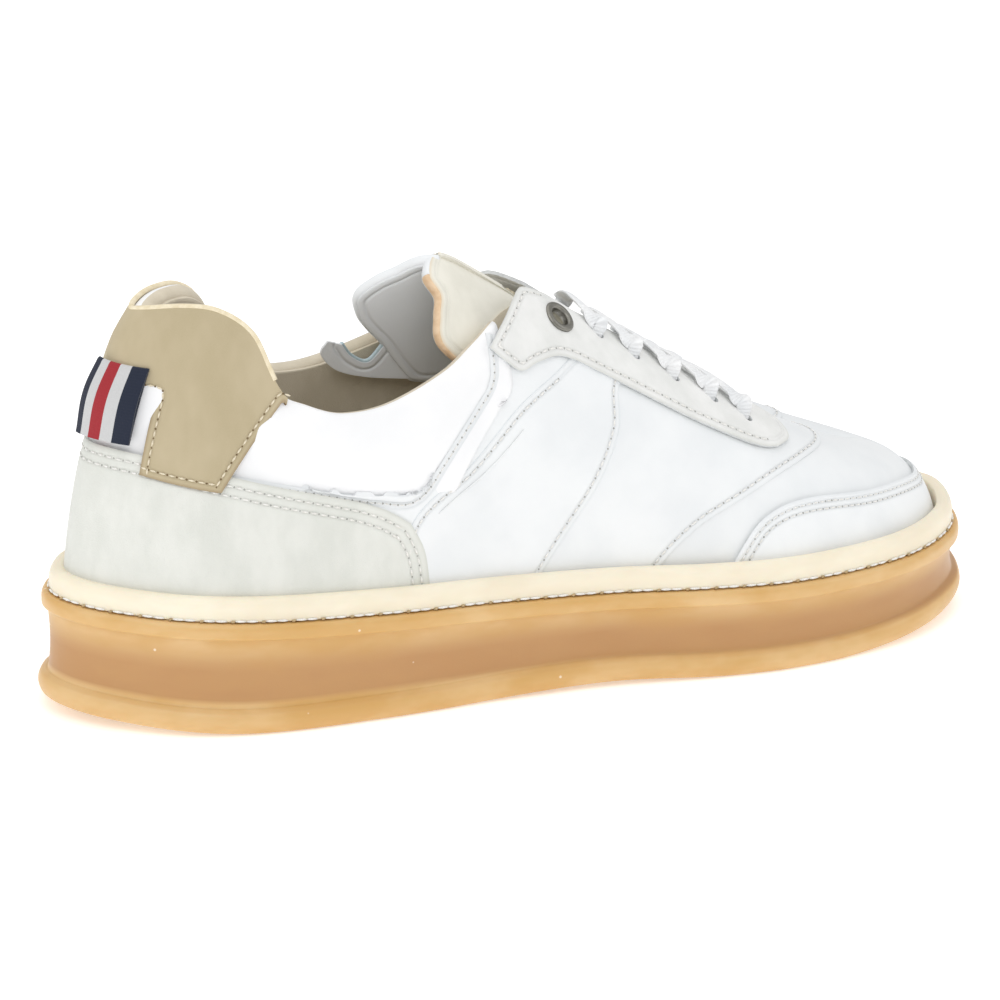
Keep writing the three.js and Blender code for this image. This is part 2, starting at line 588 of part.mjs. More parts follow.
// The ribbon loop: a hairpin of ribbon standing just off the heel.
function pullLoop() {
  const seam = lasted(0, 0.335, OUTER[1]);
  const upperEnd = lasted(0, 0.5, OUTER[1]);
  const up = upperEnd.clone().sub(seam).setY(0).normalize();
  const out = new THREE.Vector3(-up.z, 0, up.x);
  const { ply, gap, height, stand, width } = LOOP;
  const depth = 2 * ply + gap;
  const outline = [[0, 0], [ply, 0], [ply, height - depth / 2 - gap / 2], [depth / 2, height - depth / 2],
    [depth - ply, height - depth / 2 - gap / 2], [depth - ply, 0], [depth, 0], [depth, height - depth / 2],
    [depth * 0.8, height - depth * 0.1], [depth / 2, height], [depth * 0.2, height - depth * 0.1],
    [0, height - depth / 2]];
  const shape = new THREE.Shape(outline.map(([x, y]) => new THREE.Vector2(x, y)));
  const band = new THREE.ExtrudeGeometry(shape, { depth: width, bevelEnabled: false, steps: 1 });
  band.translate(0, 0, -width / 2);
  const frame = new THREE.Matrix4().makeBasis(out, up, new THREE.Vector3(0, 1, 0));
  frame.setPosition(seam.clone().addScaledVector(out, stand).addScaledVector(up, 0.4));
  band.applyMatrix4(frame);
  add("pull_loop", band, COLOURS.navy);
}

function lacing() {
  const half = LACE_WIDTH / 2 / (LENGTH * (SPINE.toe - SPINE.heel) * Math.PI / 2);
  HOLES_AT.forEach(([u, v], i) => {
    const wide = half / Math.sin(Math.PI * u);
    const reach = 1 - v + 0.012;
    add(`lace_bar_${i + 1}`, saddle((s, w) => [u + wide * (2 * s - 1), w * reach], 1, 8,
      [OUTER[1] + GAP, OUTER[1] + GAP + LACE_THICK]), COLOURS.lace);
    const next = HOLES_AT[i + 1];
    if (!next) return;
    const lean = i % 2 ? -1 : 1;
    const top = BACKING[0] - GAP - 0.1 - (i % 2) * (LACE_THICK + 0.2);
    add(`lace_run_${i + 1}`, saddle((s, w) => [
      (u + next[0]) / 2 + (lean * w * (next[0] - u)) / 2 + wide * 0.8 * (2 * s - 1), w * 0.115,
    ], 1, 4, flat(top, LACE_THICK)), COLOURS.lace);
  });
}

function tongue() {
  const outer = flat(LINED[0] - 0.6, TONGUE_LEATHER);
  const foam = flat(outer[0] - GAP, TONGUE_FOAM);
  const inner = flat(foam[0] - 1.5 * GAP, TONGUE_LEATHER);
  const { tip, root, half, sweep } = TONGUE;
  const shape = (from, to, reach) => (s, w) => {
    const round = 1 - 0.18 * Math.max(0, 1 - s / 0.12) ** 2;
    const across = w * reach * round * (1 - 0.3 * s);
    return [THREE.MathUtils.lerp(from + sweep * Math.min(across, 0) ** 2, to, s), across];
  };
  add("tongue_cover", saddle(shape(tip, root, half), 14, 8, outer), COLOURS.cream);
  add("tongue_foam", saddle(shape(tip + 0.012, root - 0.03, half - 0.03), 12, 6, foam), COLOURS.foam);
  add("tongue_lining", saddle(shape(tip, root - 0.01, half), 14, 8, inner), COLOURS.grey);
}

sole();
upperSide(-1, "lateral");
upperSide(1, "medial");
toe();
heel();
lacing();
tongue();

export default shoe;
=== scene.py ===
"""Looks of a low court shoe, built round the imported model.

Leather and suede patches, gum sole, laces and ribbon loop are drawn on one last. Lengths inside the pattern
are millimetres, as a shoemaker's are; MM turns them into metres when a mesh is made.
"""
import logging
import math
from dataclasses import dataclass, field
from enum import Enum
from typing import Callable, Optional, Sequence

import bmesh
import bpy
import numpy as np
from mathutils import Matrix, Vector
from mathutils.kdtree import KDTree


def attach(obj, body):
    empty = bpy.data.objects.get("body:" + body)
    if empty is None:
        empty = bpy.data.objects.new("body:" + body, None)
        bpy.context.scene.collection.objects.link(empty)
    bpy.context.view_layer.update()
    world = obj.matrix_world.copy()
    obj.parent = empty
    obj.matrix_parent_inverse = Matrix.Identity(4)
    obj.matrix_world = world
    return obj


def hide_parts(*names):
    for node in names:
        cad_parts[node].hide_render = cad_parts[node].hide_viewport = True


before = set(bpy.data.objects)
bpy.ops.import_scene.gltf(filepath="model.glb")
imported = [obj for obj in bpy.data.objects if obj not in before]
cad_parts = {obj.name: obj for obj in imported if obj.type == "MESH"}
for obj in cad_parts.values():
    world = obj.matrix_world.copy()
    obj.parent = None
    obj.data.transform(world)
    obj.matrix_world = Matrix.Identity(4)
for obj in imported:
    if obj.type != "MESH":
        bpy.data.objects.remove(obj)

LOG = logging.getLogger("court_shoe")
MM = 0.001
FAR = 99.0
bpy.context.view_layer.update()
Array = np.ndarray
Path = Callable[[Array], Array]

SHOE, TONGUE, LOOP = "shoe", "tongue", "loop"


class Side(Enum):
    """The two sides of a right shoe."""

    LATERAL = -1
    MEDIAL = 1

    @property
    def word(self) -> str:
        """The side's name in piece names."""
        return self.name.lower()


# ---------------------------------------------------------------- curves


def curve_through(points: Sequence[Sequence[float]]) -> Callable[[Array], Array]:
    """A smooth function through [x, y] points.

    Args:
        points: knots with rising x.

    Returns:
        A function from x to y for arrays.
    """
    knots = np.array(points, float)
    last = len(knots) - 1
    after = np.minimum(np.arange(last + 1) + 1, last)
    before = np.maximum(np.arange(last + 1) - 1, 0)
    slope = (knots[after, 1] - knots[before, 1]) / (knots[after, 0] - knots[before, 0])

    def value(x: Array) -> Array:
        """y at x."""
        x = np.asarray(x, float)
        i = np.clip(np.searchsorted(knots[:, 0], x) - 1, 0, last - 1)
        width = knots[i + 1, 0] - knots[i, 0]
        t = np.clip((x - knots[i, 0]) / width, 0, 1)
        s = 1 - t
        return (knots[i, 1] * s * s * (1 + 2 * t) + knots[i + 1, 1] * t * t * (3 - 2 * t)
                + width * t * s * (slope[i] * s - slope[i + 1] * t))

    return value


def path_through(points: Sequence[Sequence[float]]) -> Path:
    """A smooth path through points, taken by share of its control points.

    Args:
        points: two or more [u, v] or [x, y, z] points.

    Returns:
        A function from shares 0 to 1 to points.
    """
    knots = np.array(points, float)
    padded = np.vstack([knots[0], knots, knots[-1]])

    def value(s: Array) -> Array:
        """The point at share s."""
        at = np.clip(np.asarray(s, float), 0, 1) * (len(knots) - 1)
        i = np.minimum(at.astype(int), len(knots) - 2)
        t = (at - i)[..., None]
        p0, p1, p2, p3 = (padded[i + k] for k in range(4))
        return 0.5 * (2 * p1 + (p2 - p0) * t + (2 * p0 - 5 * p1 + 4 * p2 - p3) * t ** 2
                      + (3 * p1 - p0 - 3 * p2 + p3) * t ** 3)

    return value


def edge_line(line: Callable[[Array], Array], start: float, end: float) -> Path:
    """The path of a v = line(u) pattern line between two values of u."""
    return lambda s: np.stack([start + (end - start) * np.asarray(s, float),
                               line(start + (end - start) * np.asarray(s, float))], -1)


def upright(u: float, low: float, high: float) -> Path:
    """A straight path up one spoke."""
    return lambda s: np.stack([np.full(np.shape(s), u), low + (high - low) * np.asarray(s, float)], -1)


def smooth_step(x: Array) -> Array:
    """0 below 0, 1 above 1, smooth between."""
    t = np.clip(x, 0, 1)
    return t * t * (3 - 2 * t)


# ---------------------------------------------------------------- the last


@dataclass
class Last:
    """The surface the upper is drawn on, the same as the model's.

    u runs round the feather edge: 0 at the heel, -1 at the toe by the outer side, +1 by the inner side.
    v climbs the wall, from 0 at the feather edge to 1 at the ridge.
    """

    length: float = 300.0
    ball_width: float = 102.0
    upper_height: float = 142.0
    inset: float = 8.5
    lasting: float = 10.2
    midline: float = 1.886
    spine: tuple[float, float] = (0.2, 0.86)
    samples: int = 4000
    ground_heights: tuple = ((0, 4), (0.13, 0.5), (0.2, 0), (0.36, 0), (0.53, 1.2), (0.66, 0), (0.78, 0),
                             (0.9, 2.4), (1, 6))
    rim_heights: tuple = ((0, 35), (0.18, 32.5), (0.35, 30), (0.53, 28), (0.72, 26.3), (0.87, 26.3),
                          (1, 27.5))
    near: tuple = ((0, 0), (0.01, -0.117), (0.04, -0.235), (0.1, -0.364), (0.183, -0.434), (0.3, -0.446),
                   (0.417, -0.434), (0.533, -0.449), (0.633, -0.499), (0.717, -0.519), (0.8, -0.49),
                   (0.873, -0.428), (0.933, -0.323), (0.977, -0.176), (1, 0.044))
    far: tuple = ((0, 0), (0.01, 0.106), (0.04, 0.223), (0.1, 0.331), (0.18, 0.384), (0.283, 0.381),
                  (0.4, 0.364), (0.517, 0.372), (0.617, 0.419), (0.7, 0.469), (0.783, 0.481), (0.86, 0.437),
                  (0.93, 0.337), (0.977, 0.205), (1, 0.044))
    spine_side: tuple = ((0.2, -2.5), (0.4, -2), (0.6, 1), (0.75, 3), (0.87, 4))
    ridge: tuple = ((0.2, 1), (0.3, 0.986), (0.4, 0.923), (0.48, 0.824), (0.56, 0.704), (0.66, 0.567),
                    (0.76, 0.447), (0.87, 0.349))
    fullness: tuple = ((0.2, 1.9), (0.28, 1.95), (0.36, 2.1), (0.45, 2.3), (0.6, 2.35), (0.8, 2.3),
                       (0.9, 2.3))

    def __post_init__(self) -> None:
        """Works out the sampled outline and the height curves."""
        self._ground, self._rim = curve_through(self.ground_heights), curve_through(self.rim_heights)
        self._spine_side, self._ridge = curve_through(self.spine_side), curve_through(self.ridge)
        self._full = curve_through(self.fullness)
        u = -1 + 2 * np.arange(self.samples) / self.samples
        self._outline = self._outline_at(u)
        step = 6
        back, ahead = np.roll(self._outline, step, 0), np.roll(self._outline, -step, 0)
        out = np.stack([back[:, 1] - ahead[:, 1], ahead[:, 0] - back[:, 0]], -1)
        self._outward = out / np.linalg.norm(out, axis=1, keepdims=True)

    @staticmethod
    def wrapped(u: Array) -> Array:
        """u brought to -1..1."""
        return u - 2 * np.floor((u + 1) / 2)

    @staticmethod
    def length_share(u: Array) -> Array:
        """How far along the shoe a spoke starts, 0 to 1."""
        return (1 - np.cos(np.pi * np.abs(u))) / 2

    @staticmethod
    def _side_curve(points: Sequence[Sequence[float]]) -> Callable[[Array], Array]:
        """One side of the outline, square to the axis at both ends."""
        p = np.array(points, float)
        ends = np.vstack([[p[1, 0], 2 * p[0, 1] - p[1, 1]], p, [p[-2, 0], 2 * p[-1, 1] - p[-2, 1]]])

        def value(s: Array) -> Array:
            """The point at control parameter s."""
            i = np.minimum(s.astype(int), len(p) - 2)
            t = (s - i)[..., None]
            p0, p1, p2, p3 = (ends[i + k] for k in range(4))
            return 0.5 * (2 * p1 + (p2 - p0) * t + (2 * p0 - 5 * p1 + 4 * p2 - p3) * t ** 2
                          + (3 * p1 - p0 - 3 * p2 + p3) * t ** 3)

        return value

    def _outline_at(self, u: Array) -> Array:
        """Exact outline points at u, by halving."""
        out = np.zeros(u.shape + (2,))
        for mask, points in ((u < 0, self.near), (u >= 0, self.far)):
            side = self._side_curve(points)
            share = self.length_share(u[mask])
            low, high = np.zeros(share.shape), np.full(share.shape, len(points) - 1.0)
            for _ in range(34):
                middle = (low + high) / 2
                under = side(middle)[..., 0] < share
                low, high = np.where(under, middle, low), np.where(under, high, middle)
            out[mask] = side((low + high) / 2)
        return np.stack([(out[..., 0] - 0.5) * self.length, out[..., 1] * self.ball_width + self.midline], -1)

    def footprint(self, u: Array, inset: float | Array) -> Array:
        """The sole's outline moved in by an inset.

        Args:
            u: places round the outline.
            inset: millimetres inwards, one value or one for each place.

        Returns:
            Points [x, y].
        """
        at = (self.wrapped(np.asarray(u, float)) + 1) / 2 * self.samples
        i = np.minimum(at.astype(int), self.samples - 1)
        t = (at - i)[..., None]
        after = (i + 1) % self.samples
        point = self._outline[i] * (1 - t) + self._outline[after] * t
        out = self._outward[i] * (1 - t) + self._outward[after] * t
        return point - out * np.asarray(inset, float)[..., None]

    def share(self, x: Array) -> Array:
        """x as a share of the length."""
        return x / self.length + 0.5

    def ground(self, x: Array) -> Array:
        """Height of the sole's underside."""
        return np.maximum(0, self._ground(self.share(x)))

    def rim(self, x: Array) -> Array:
        """Height of the gum cup's rim."""
        return self._rim(self.share(x))

    def spine_at(self, share: Array) -> Array:
        """Points [x, y] under the ridge at shares of the length."""
        return np.stack([(share - 0.5) * self.length, self._spine_side(share) + self.midline], -1)

    def _spoke(self, u: Array) -> tuple:
        """Foot, foot height, top, top height and power of the spokes at u."""
        foot = self.footprint(u, self.inset)
        foot_z = self.rim(self.footprint(u, 0)[..., 0]) - self.lasting
        low, high = self.spine
        share = low + (high - low) * self.length_share(self.wrapped(u))
        top = self.spine_at(share)
        return foot, foot_z, top, self._ridge(share) * self.upper_height, 2 / self._full(share)

    def face(self, u: Array, v: Array) -> Array:
        """Points on the main leather's face."""
        u, v = np.broadcast_arrays(np.asarray(u, float), np.asarray(v, float))
        over = v > 1
        u, v = np.where(over, -u, u), np.where(over, 2 - v, v)
        foot, foot_z, top, top_z, power = self._spoke(u)
        turn = np.maximum(v, 0) * np.pi / 2
        flat = top + (foot - top) * (np.maximum(np.cos(turn), 0) ** power)[..., None]
        return np.concatenate([flat, (foot_z + (top_z - foot_z) * np.sin(turn) ** power)[..., None]], -1)

    def normal(self, u: Array, v: Array) -> Array:
        """Outward normals; above the ridge band both sides share one."""
        u, v = np.broadcast_arrays(np.asarray(u, float), np.asarray(v, float))
        step, band = 1e-3, 0.985
        capped = np.minimum(v, band)

        def raw(at: Array) -> Array:
            """The plain normal, by differences."""
            low = np.maximum(capped - step, 0)
            along = self.face(at + step, capped) - self.face(at - step, capped)
            up = self.face(at, capped + step) - self.face(at, low)
            n = np.cross(up, along)
            return n / np.linalg.norm(n, axis=-1, keepdims=True)

        here = raw(u)
        blend = np.clip((v - band) / (1 - band), 0, 1)[..., None]
        if not blend.any():
            return here
        shared = here + raw(-u)
        shared /= np.linalg.norm(shared, axis=-1, keepdims=True)
        mixed = here * (1 - blend) + shared * blend
        return mixed / np.linalg.norm(mixed, axis=-1, keepdims=True)

    def lifted(self, u: Array, v: Array, lift: float | Array) -> Array:
        """Points at a lift above the main leather's face."""
        return self.face(u, v) + self.normal(u, v) * np.asarray(lift, float)[..., None]


# ---------------------------------------------------------------- pattern


@dataclass
class Pattern:
    """Lines of the upper as [u, v] on one side; both sides use them."""

    collar: tuple = ((0, 0.573), (0.06, 0.585), (0.13, 0.598), (0.18, 0.59), (0.229, 0.54), (0.272, 0.425),
                     (0.3, 0.398), (0.335, 0.38), (0.374, 0.403), (0.411, 0.48), (0.433, 0.58),
                     (0.444, 0.655))
    pad_seam: tuple = ((0, 0.322), (0.125, 0.318), (0.217, 0.295), (0.299, 0.262), (0.36, 0.228),
                       (0.39, 0.225), (0.41, 0.3), (0.432, 0.42), (0.441, 0.5), (0.436, 0.585))
    pad_foot: tuple = ((0.0, 0.318), (0.125, 0.315), (0.217, 0.292), (0.3, 0.256), (0.36, 0.215))
    facing_edge: tuple = ((0.378, 0.03), (0.387, 0.177), (0.429, 0.29), (0.463, 0.443), (0.5, 0.63))
    middle_seam: tuple = ((0.468, 0.03), (0.478, 0.08), (0.514, 0.268), (0.532, 0.44), (0.536, 0.6))
    mudguard: tuple = ((0.598, 0.05), (0.603, 0.105), (0.63, 0.247), (0.672, 0.335), (0.75, 0.392),
                       (0.825, 0.435), (0.92, 0.455), (1, 0.46))
    toe_line: tuple = ((0.548, 0.02), (0.552, 0.088), (0.579, 0.198), (0.616, 0.305), (0.656, 0.42),
                       (0.7, 0.54), (0.748, 0.68), (0.785, 0.84), (0.8, 1.0))
    stay_low: tuple = ((0.438, 0.575), (0.452, 0.545), (0.463, 0.535), (0.476, 0.58), (0.496, 0.63),
                       (0.525, 0.62), (0.6, 0.552), (0.645, 0.525), (0.668, 0.545))
    stay_front: tuple = ((0.668, 0.545), (0.69, 0.62), (0.698, 0.74), (0.69, 0.855))
    stay_rear: tuple = ((0.438, 0.575), (0.449, 0.69), (0.456, 0.79), (0.462, 0.86), (0.482, 0.905))
    stay_high: tuple = ((0.482, 0.905), (0.56, 0.895), (0.63, 0.88), (0.69, 0.855))
    eyelet: tuple = (0.495, 0.795)
    holes: tuple = ((0.531, 0.81), (0.56, 0.775), (0.592, 0.74), (0.623, 0.7), (0.651, 0.655))


LAST = Last()
PATTERN = Pattern()
COLLAR_LINE = curve_through(PATTERN.collar)


# ---------------------------------------------------------------- meshes


def grid_object(name: str, points: Array, thick: float = 0.0, rounding: float = 0.0, rim: int = 0,
                close: bool = False, attributes: Optional[dict[str, Array]] = None,
                towards: Optional[Array] = None, holes: Sequence[tuple[Array, float]] = (),
                drop: Optional[Array] = None, second: Optional[Array] = None) -> bpy.types.Object:
    """A piece drawn as a grid of points, with a wall given to it by a modifier.

    Args:
        name: the piece's name.
        points: grid of points [rows, columns, 3] in millimetres.
        thick: wall thickness inwards, 0 for none.
        rounding: width of the rounded cut edge.
        rim: material step of the cut edge.
        close: whether rows or columns that meet are joined and ends filled.
        attributes: values on the grid for the finish to read.
        towards: for each grid point, the way its face looks; None trusts recalculated normals.
        holes: centre and radius of round holes.
        drop: which cells are left out, [rows - 1, columns - 1].
        second: which cells take the second material.

    Returns:
        The new object at the origin.
    """
    rows, columns = points.shape[:2]
    bm = bmesh.new()
    bmesh.ops.create_grid(bm, x_segments=rows - 1, y_segments=columns - 1, size=1)
    co = np.array([v.co for v in bm.verts])
    i = np.rint((co[:, 0] + 1) / 2 * (rows - 1)).astype(int)
    j = np.rint((co[:, 1] + 1) / 2 * (columns - 1)).astype(int)
    placed = points[i, j] * MM
    middles = np.array([f.calc_center_median() for f in bm.faces])
    fi = np.floor((middles[:, 0] + 1) / 2 * (rows - 1)).astype(int)
    fj = np.floor((middles[:, 1] + 1) / 2 * (columns - 1)).astype(int)
    if second is not None:
        for face, other in zip(bm.faces, second[fi, fj]):
            face.material_index = int(other)
    unwanted = [] if drop is None else [face for face, gone in zip(bm.faces, drop[fi, fj]) if gone]
    layers = {key: bm.verts.layers.float.new(key) for key in attributes or {}}
    for vert, place in zip(bm.verts, placed):
        vert.co = place
    for key, layer in layers.items():
        for vert, value in zip(bm.verts, attributes[key][i, j]):
            vert[layer] = float(value)
    if towards is not None:
        bm.normal_update()
        looks = towards[i, j]
        agree = sum(np.sign(np.dot(v.normal, n)) for v, n in zip(list(bm.verts)[::17], looks[::17]))
        if agree < 0:
            bmesh.ops.reverse_faces(bm, faces=bm.faces)
    if unwanted:
        bmesh.ops.delete(bm, geom=unwanted, context="FACES")
    if close:
        bmesh.ops.remove_doubles(bm, verts=bm.verts, dist=2e-6)
        bmesh.ops.dissolve_degenerate(bm, edges=bm.edges, dist=1e-6)
    for centre, radius in holes:
        punch(bm, Vector(centre * MM), radius * MM)
    if towards is None:
        bmesh.ops.recalc_face_normals(bm, faces=bm.faces)
    return finished(name, bm, thick, rounding, rim)


def punch(bm: bmesh.types.BMesh, centre: Vector, radius: float) -> None:
    """Takes a round hole out of a sheet and draws its border onto the circle."""
    gone = [f for f in bm.faces if (f.calc_center_median() - centre).length < radius]
    if not gone:
        return
    border = {v for f in gone for v in f.verts}
    bmesh.ops.delete(bm, geom=gone, context="FACES")
    for vert in border:
        if vert.is_valid and any(e.is_boundary for e in vert.link_edges):
            away = vert.co - centre
            vert.co = centre + away * (radius / max(away.length, 1e-9))
    bmesh.ops.delete(bm, geom=[v for v in bm.verts if not v.link_faces], context="VERTS")


def finished(name: str, bm: bmesh.types.BMesh, thick: float = 0.0, rounding: float = 0.0,
             rim: int = 0) -> bpy.types.Object:
    """Makes the bmesh an object at the origin, with its wall and rounded edge."""
    mesh = bpy.data.meshes.new(name)
    bm.to_mesh(mesh)
    bm.free()
    mesh.shade_smooth()
    piece = bpy.data.objects.new(name, mesh)
    bpy.context.scene.collection.objects.link(piece)
    if thick:
        wall = piece.modifiers.new("wall", "SOLIDIFY")
        wall.thickness, wall.offset, wall.use_even_offset = thick * MM, -1, False
        wall.material_offset_rim = rim
    if rounding:
        edge = piece.modifiers.new("cut_edge", "BEVEL")
        edge.width, edge.segments, edge.limit_method = rounding * MM, 2, "ANGLE"
        edge.angle_limit = math.radians(50)
        even = piece.modifiers.new("even_light", "WEIGHTED_NORMAL")
        even.keep_sharp = True
    return piece


def settle(piece: bpy.types.Object, body: str, slot: str, *materials: bpy.types.Material,
           stands_for: Sequence[str] = ()) -> bpy.types.Object:
    """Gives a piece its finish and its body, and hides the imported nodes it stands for."""
    for material in materials:
        piece.data.materials.append(material)
    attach(piece, body)
    if stands_for:
        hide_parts(*stands_for)
    LOG.info("%s: %d faces", piece.name, len(piece.data.polygons))
    return piece


def lengths(points: Array) -> Array:
    """Running length along a line of points."""
    steps = np.linalg.norm(np.diff(points, axis=0), axis=1)
    return np.concatenate([[0], np.cumsum(steps)])


def spaced(points: Array, pitch: float) -> Array:
    """The same line with points at an even pitch."""
    run = lengths(points)
    count = max(2, int(round(run[-1] / pitch)) + 1)
    at = np.linspace(0, run[-1], count)
    return np.stack([np.interp(at, run, points[:, k]) for k in range(points.shape[1])], -1)


def tree_of(points: Array) -> KDTree:
    """A lookup tree of points."""
    tree = KDTree(len(points))
    for k, point in enumerate(points):
        tree.insert(point, k)
    tree.balance()
    return tree


def seam_distance(points: Array, lines: Sequence[Array]) -> Array:
    """How far each grid point is from the nearest of some lines."""
    tree = tree_of(np.vstack([spaced(line, 0.25) for line in lines]))
    distance = [tree.find(point)[2] for point in points.reshape(-1, 3)]
    return np.array(distance).reshape(points.shape[:2])


@dataclass
class Patch:
    """A piece of leather drawn on the last: a grid of (u, v) with a lift at each point."""

    uv: Array
    lift: Array | float
    edges: tuple[str, ...] = ()
    seams: list[Array] = field(default_factory=list)

    def __post_init__(self) -> None:
        """Measures the patch."""
        self.base = LAST.face(self.uv[..., 0], self.uv[..., 1])
        self.normal = LAST.normal(self.uv[..., 0], self.uv[..., 1])
        self.lift = np.broadcast_to(np.asarray(self.lift, float), self.base.shape[:2]).copy()
        lines = [self.border(edge) for edge in self.edges] + self.seams
        self.edge = seam_distance(self.base, lines) if lines else np.full(self.lift.shape, FAR)

    def border(self, edge: str) -> Array:
        """The line of one of the four borders."""
        borders = {"low": self.base[:, 0], "high": self.base[:, -1],
                   "rear": self.base[0], "front": self.base[-1]}
        return borders[edge]

    @property
    def points(self) -> Array:
        """The lifted points."""
        return self.base + self.normal * self.lift[..., None]

    def build(self, name: str, thick: float, rounding: float = 0.3, rim: int = 0, close: bool = False,
              holes: Sequence[tuple[Array, float]] = (), drop: Optional[Array] = None) -> bpy.types.Object:
        """The patch as an object with a wall."""
        return grid_object(name, self.points, thick, rounding, rim, close,
                           {"edge": self.edge}, self.normal, holes, drop)


def coons(low: Path, high: Path, rear: Path, front: Path, rows: int, columns: int) -> Array:
    """A grid of (u, v) between four border paths that meet at their corners.

    Args:
        low, high: borders from rear to front.
        rear, front: borders from low to high.
        rows, columns: grid points along and up.

    Returns:
        The grid [rows, columns, 2].
    """
    s, t = np.linspace(0, 1, rows), np.linspace(0, 1, columns)
    lo, hi, re, fr = low(s)[:, None], high(s)[:, None], rear(t)[None], front(t)[None]
    a, b = s[:, None, None], t[None, :, None]
    corners = ((1 - a) * (1 - b) * re[:, :1] + (1 - a) * b * re[:, -1:] + a * (1 - b) * fr[:, :1]
               + a * b * fr[:, -1:])
    return (1 - b) * lo + b * hi + (1 - a) * re + a * fr - corners


def lofted(first: Path, last: Path, rows: int, columns: int) -> Array:
    """A grid of (u, v) between two paths."""
    s, t = np.linspace(0, 1, rows), np.linspace(0, 1, columns)[None, :, None]
    return first(s)[:, None] * (1 - t) + last(s)[:, None] * t


def sided(uv: Array, side: Side) -> Array:
    """The grid on one side of the shoe."""
    return uv * np.array([side.value, 1.0])


def straight(*points: Sequence[float]) -> Path:
    """A path of straight runs through points, by share of its corners."""
    knots = np.array(points, float)
    return lambda s: np.stack([np.interp(np.asarray(s) * (len(knots) - 1), np.arange(len(knots)), knots[:, k])
                               for k in range(2)], -1)


def even(path: Path) -> Path:
    """The same path by share of its real length on the last."""
    uv = path(np.linspace(0, 1, 400))
    run = lengths(LAST.face(uv[:, 0], uv[:, 1]))
    return lambda at: np.stack([np.interp(np.asarray(at) * run[-1], run, uv[:, k]) for k in range(2)], -1)


# ---------------------------------------------------------------- sewing


@dataclass
class Row:
    """One row of stitches: a line on the last and how the needle went."""

    line: Array
    inset: float = 0.0
    pitch: float = 3.0
    length: float = 2.2
    trim: tuple[float, float] = (1.0, 1.0)


def inset_line(uv: Array, inset: float) -> Array:
    """A line moved sideways over the last, to its left as seen from outside.

    Args:
        uv: points of the line.
        inset: millimetres.

    Returns:
        Points of the moved line.
    """
    u, v = uv[:, 0], uv[:, 1]
    here, normal = LAST.face(u, v), LAST.normal(u, v)
    along = np.gradient(here, axis=0)
    along /= np.linalg.norm(along, axis=1, keepdims=True) + 1e-12
    return here + np.cross(normal, along) * inset


@dataclass
class Thread:
    """Stitches as small flattened beads, and dots of painted shade for the needle holes between them.

    Attributes:
        width, height: section of a stitch.
        hole: radius of a needle hole's dot of painted shade.
        hole_depth: a dot's depth as a share of its radius.
        stand: how far a stitch's middle stands off the leather.
    """

    width: float = 0.62
    height: float = 0.5
    hole: float = 0.34
    hole_depth: float = 0.35
    stand: float = 0.1

    def sew(self, name: str, rows: Sequence[Row], onto: Sequence[Patch], thread: bpy.types.Material,
            holes: Optional[bpy.types.Material], body: str = SHOE, slot: str = "lace_cotton") -> None:
        """Sews rows onto patches as one piece of thread and one of painted shade dots at the needle holes.

        Args:
            name: name of the thread piece.
            rows: rows to sew.
            onto: patches whose face the stitches lie on.
            thread: finish of the thread.
            holes: finish of the painted shade dots at the needle holes, or None for none.
            body: what the thread moves with.
            slot: the record's material slot; not used.
        """
        face = np.vstack([p.points.reshape(-1, 3) for p in onto])
        looks = np.vstack([p.normal.reshape(-1, 3) for p in onto])
        tree = tree_of(face)
        beads, hole_shade_dots = bmesh.new(), bmesh.new()
        for row in rows:
            line = inset_line(row.line, row.inset)
            run = lengths(line)
            at = np.arange(row.trim[0], run[-1] - row.trim[1], row.pitch)
            if row.inset:
                clear = tree_of(LAST.face(row.line[:, 0], row.line[:, 1]))
            for middle in at:
                ends = [self.on_face(line, run, middle + k * row.length / 2, tree, face, looks)
                        for k in (-1, 1)]
                place, n = self.on_face(line, run, middle, tree, face, looks)
                if row.inset and clear.find(place - n * 1.0)[2] < abs(row.inset) * 0.8:
                    continue
                along = ends[1][0] - ends[0][0]
                if along.length < row.length * 0.5:
                    continue
                across = n.cross(along).normalized()
                seat = Matrix((along / 2, across * self.width / 2, n * self.height / 2)).transposed().to_4x4()
                seat.translation = (place + n * self.stand) * MM
                bmesh.ops.create_uvsphere(beads, u_segments=6, v_segments=4, radius=MM, matrix=seat)
                if holes is not None:
                    # A flattened dark dot at each needle hole: painted shade of the hole.
                    spot, m = self.on_face(line, run, middle + row.pitch / 2, tree, face, looks)
                    flat = Matrix((along.normalized(), across, m)).transposed().to_4x4()
                    flat = flat @ Matrix.Diagonal((self.hole, self.hole, self.hole * self.hole_depth, 1))
                    flat.translation = spot * MM
                    bmesh.ops.create_uvsphere(hole_shade_dots, u_segments=6, v_segments=4, radius=MM, matrix=flat)
        settle(finished(name, beads), body, slot, thread)
        if holes is not None:
            settle(finished(name + "_holes", hole_shade_dots), body, slot, holes)
        else:
            hole_shade_dots.free()

    @staticmethod
    def on_face(line: Array, run: Array, at: float, tree: KDTree, face: Array,
                looks: Array) -> tuple[Vector, Vector]:
        """The point of the line at a running length, laid on the nearest face."""
        place = Vector([float(np.interp(at, run, line[:, k])) for k in range(3)])
        _, k, _ = tree.find(place)
        n = Vector(looks[k])
        return place - n * (place - Vector(face[k])).dot(n), n


# ---------------------------------------------------------------- finishes


def linear(colour: str) -> tuple[float, float, float, float]:
    """An RRGGBB colour as scene linear values."""
    parts = [int(colour[k:k + 2], 16) / 255 for k in (0, 2, 4)]
    return (*[p / 12.92 if p <= 0.04045 else ((p + 0.055) / 1.055) ** 2.4 for p in parts], 1.0)


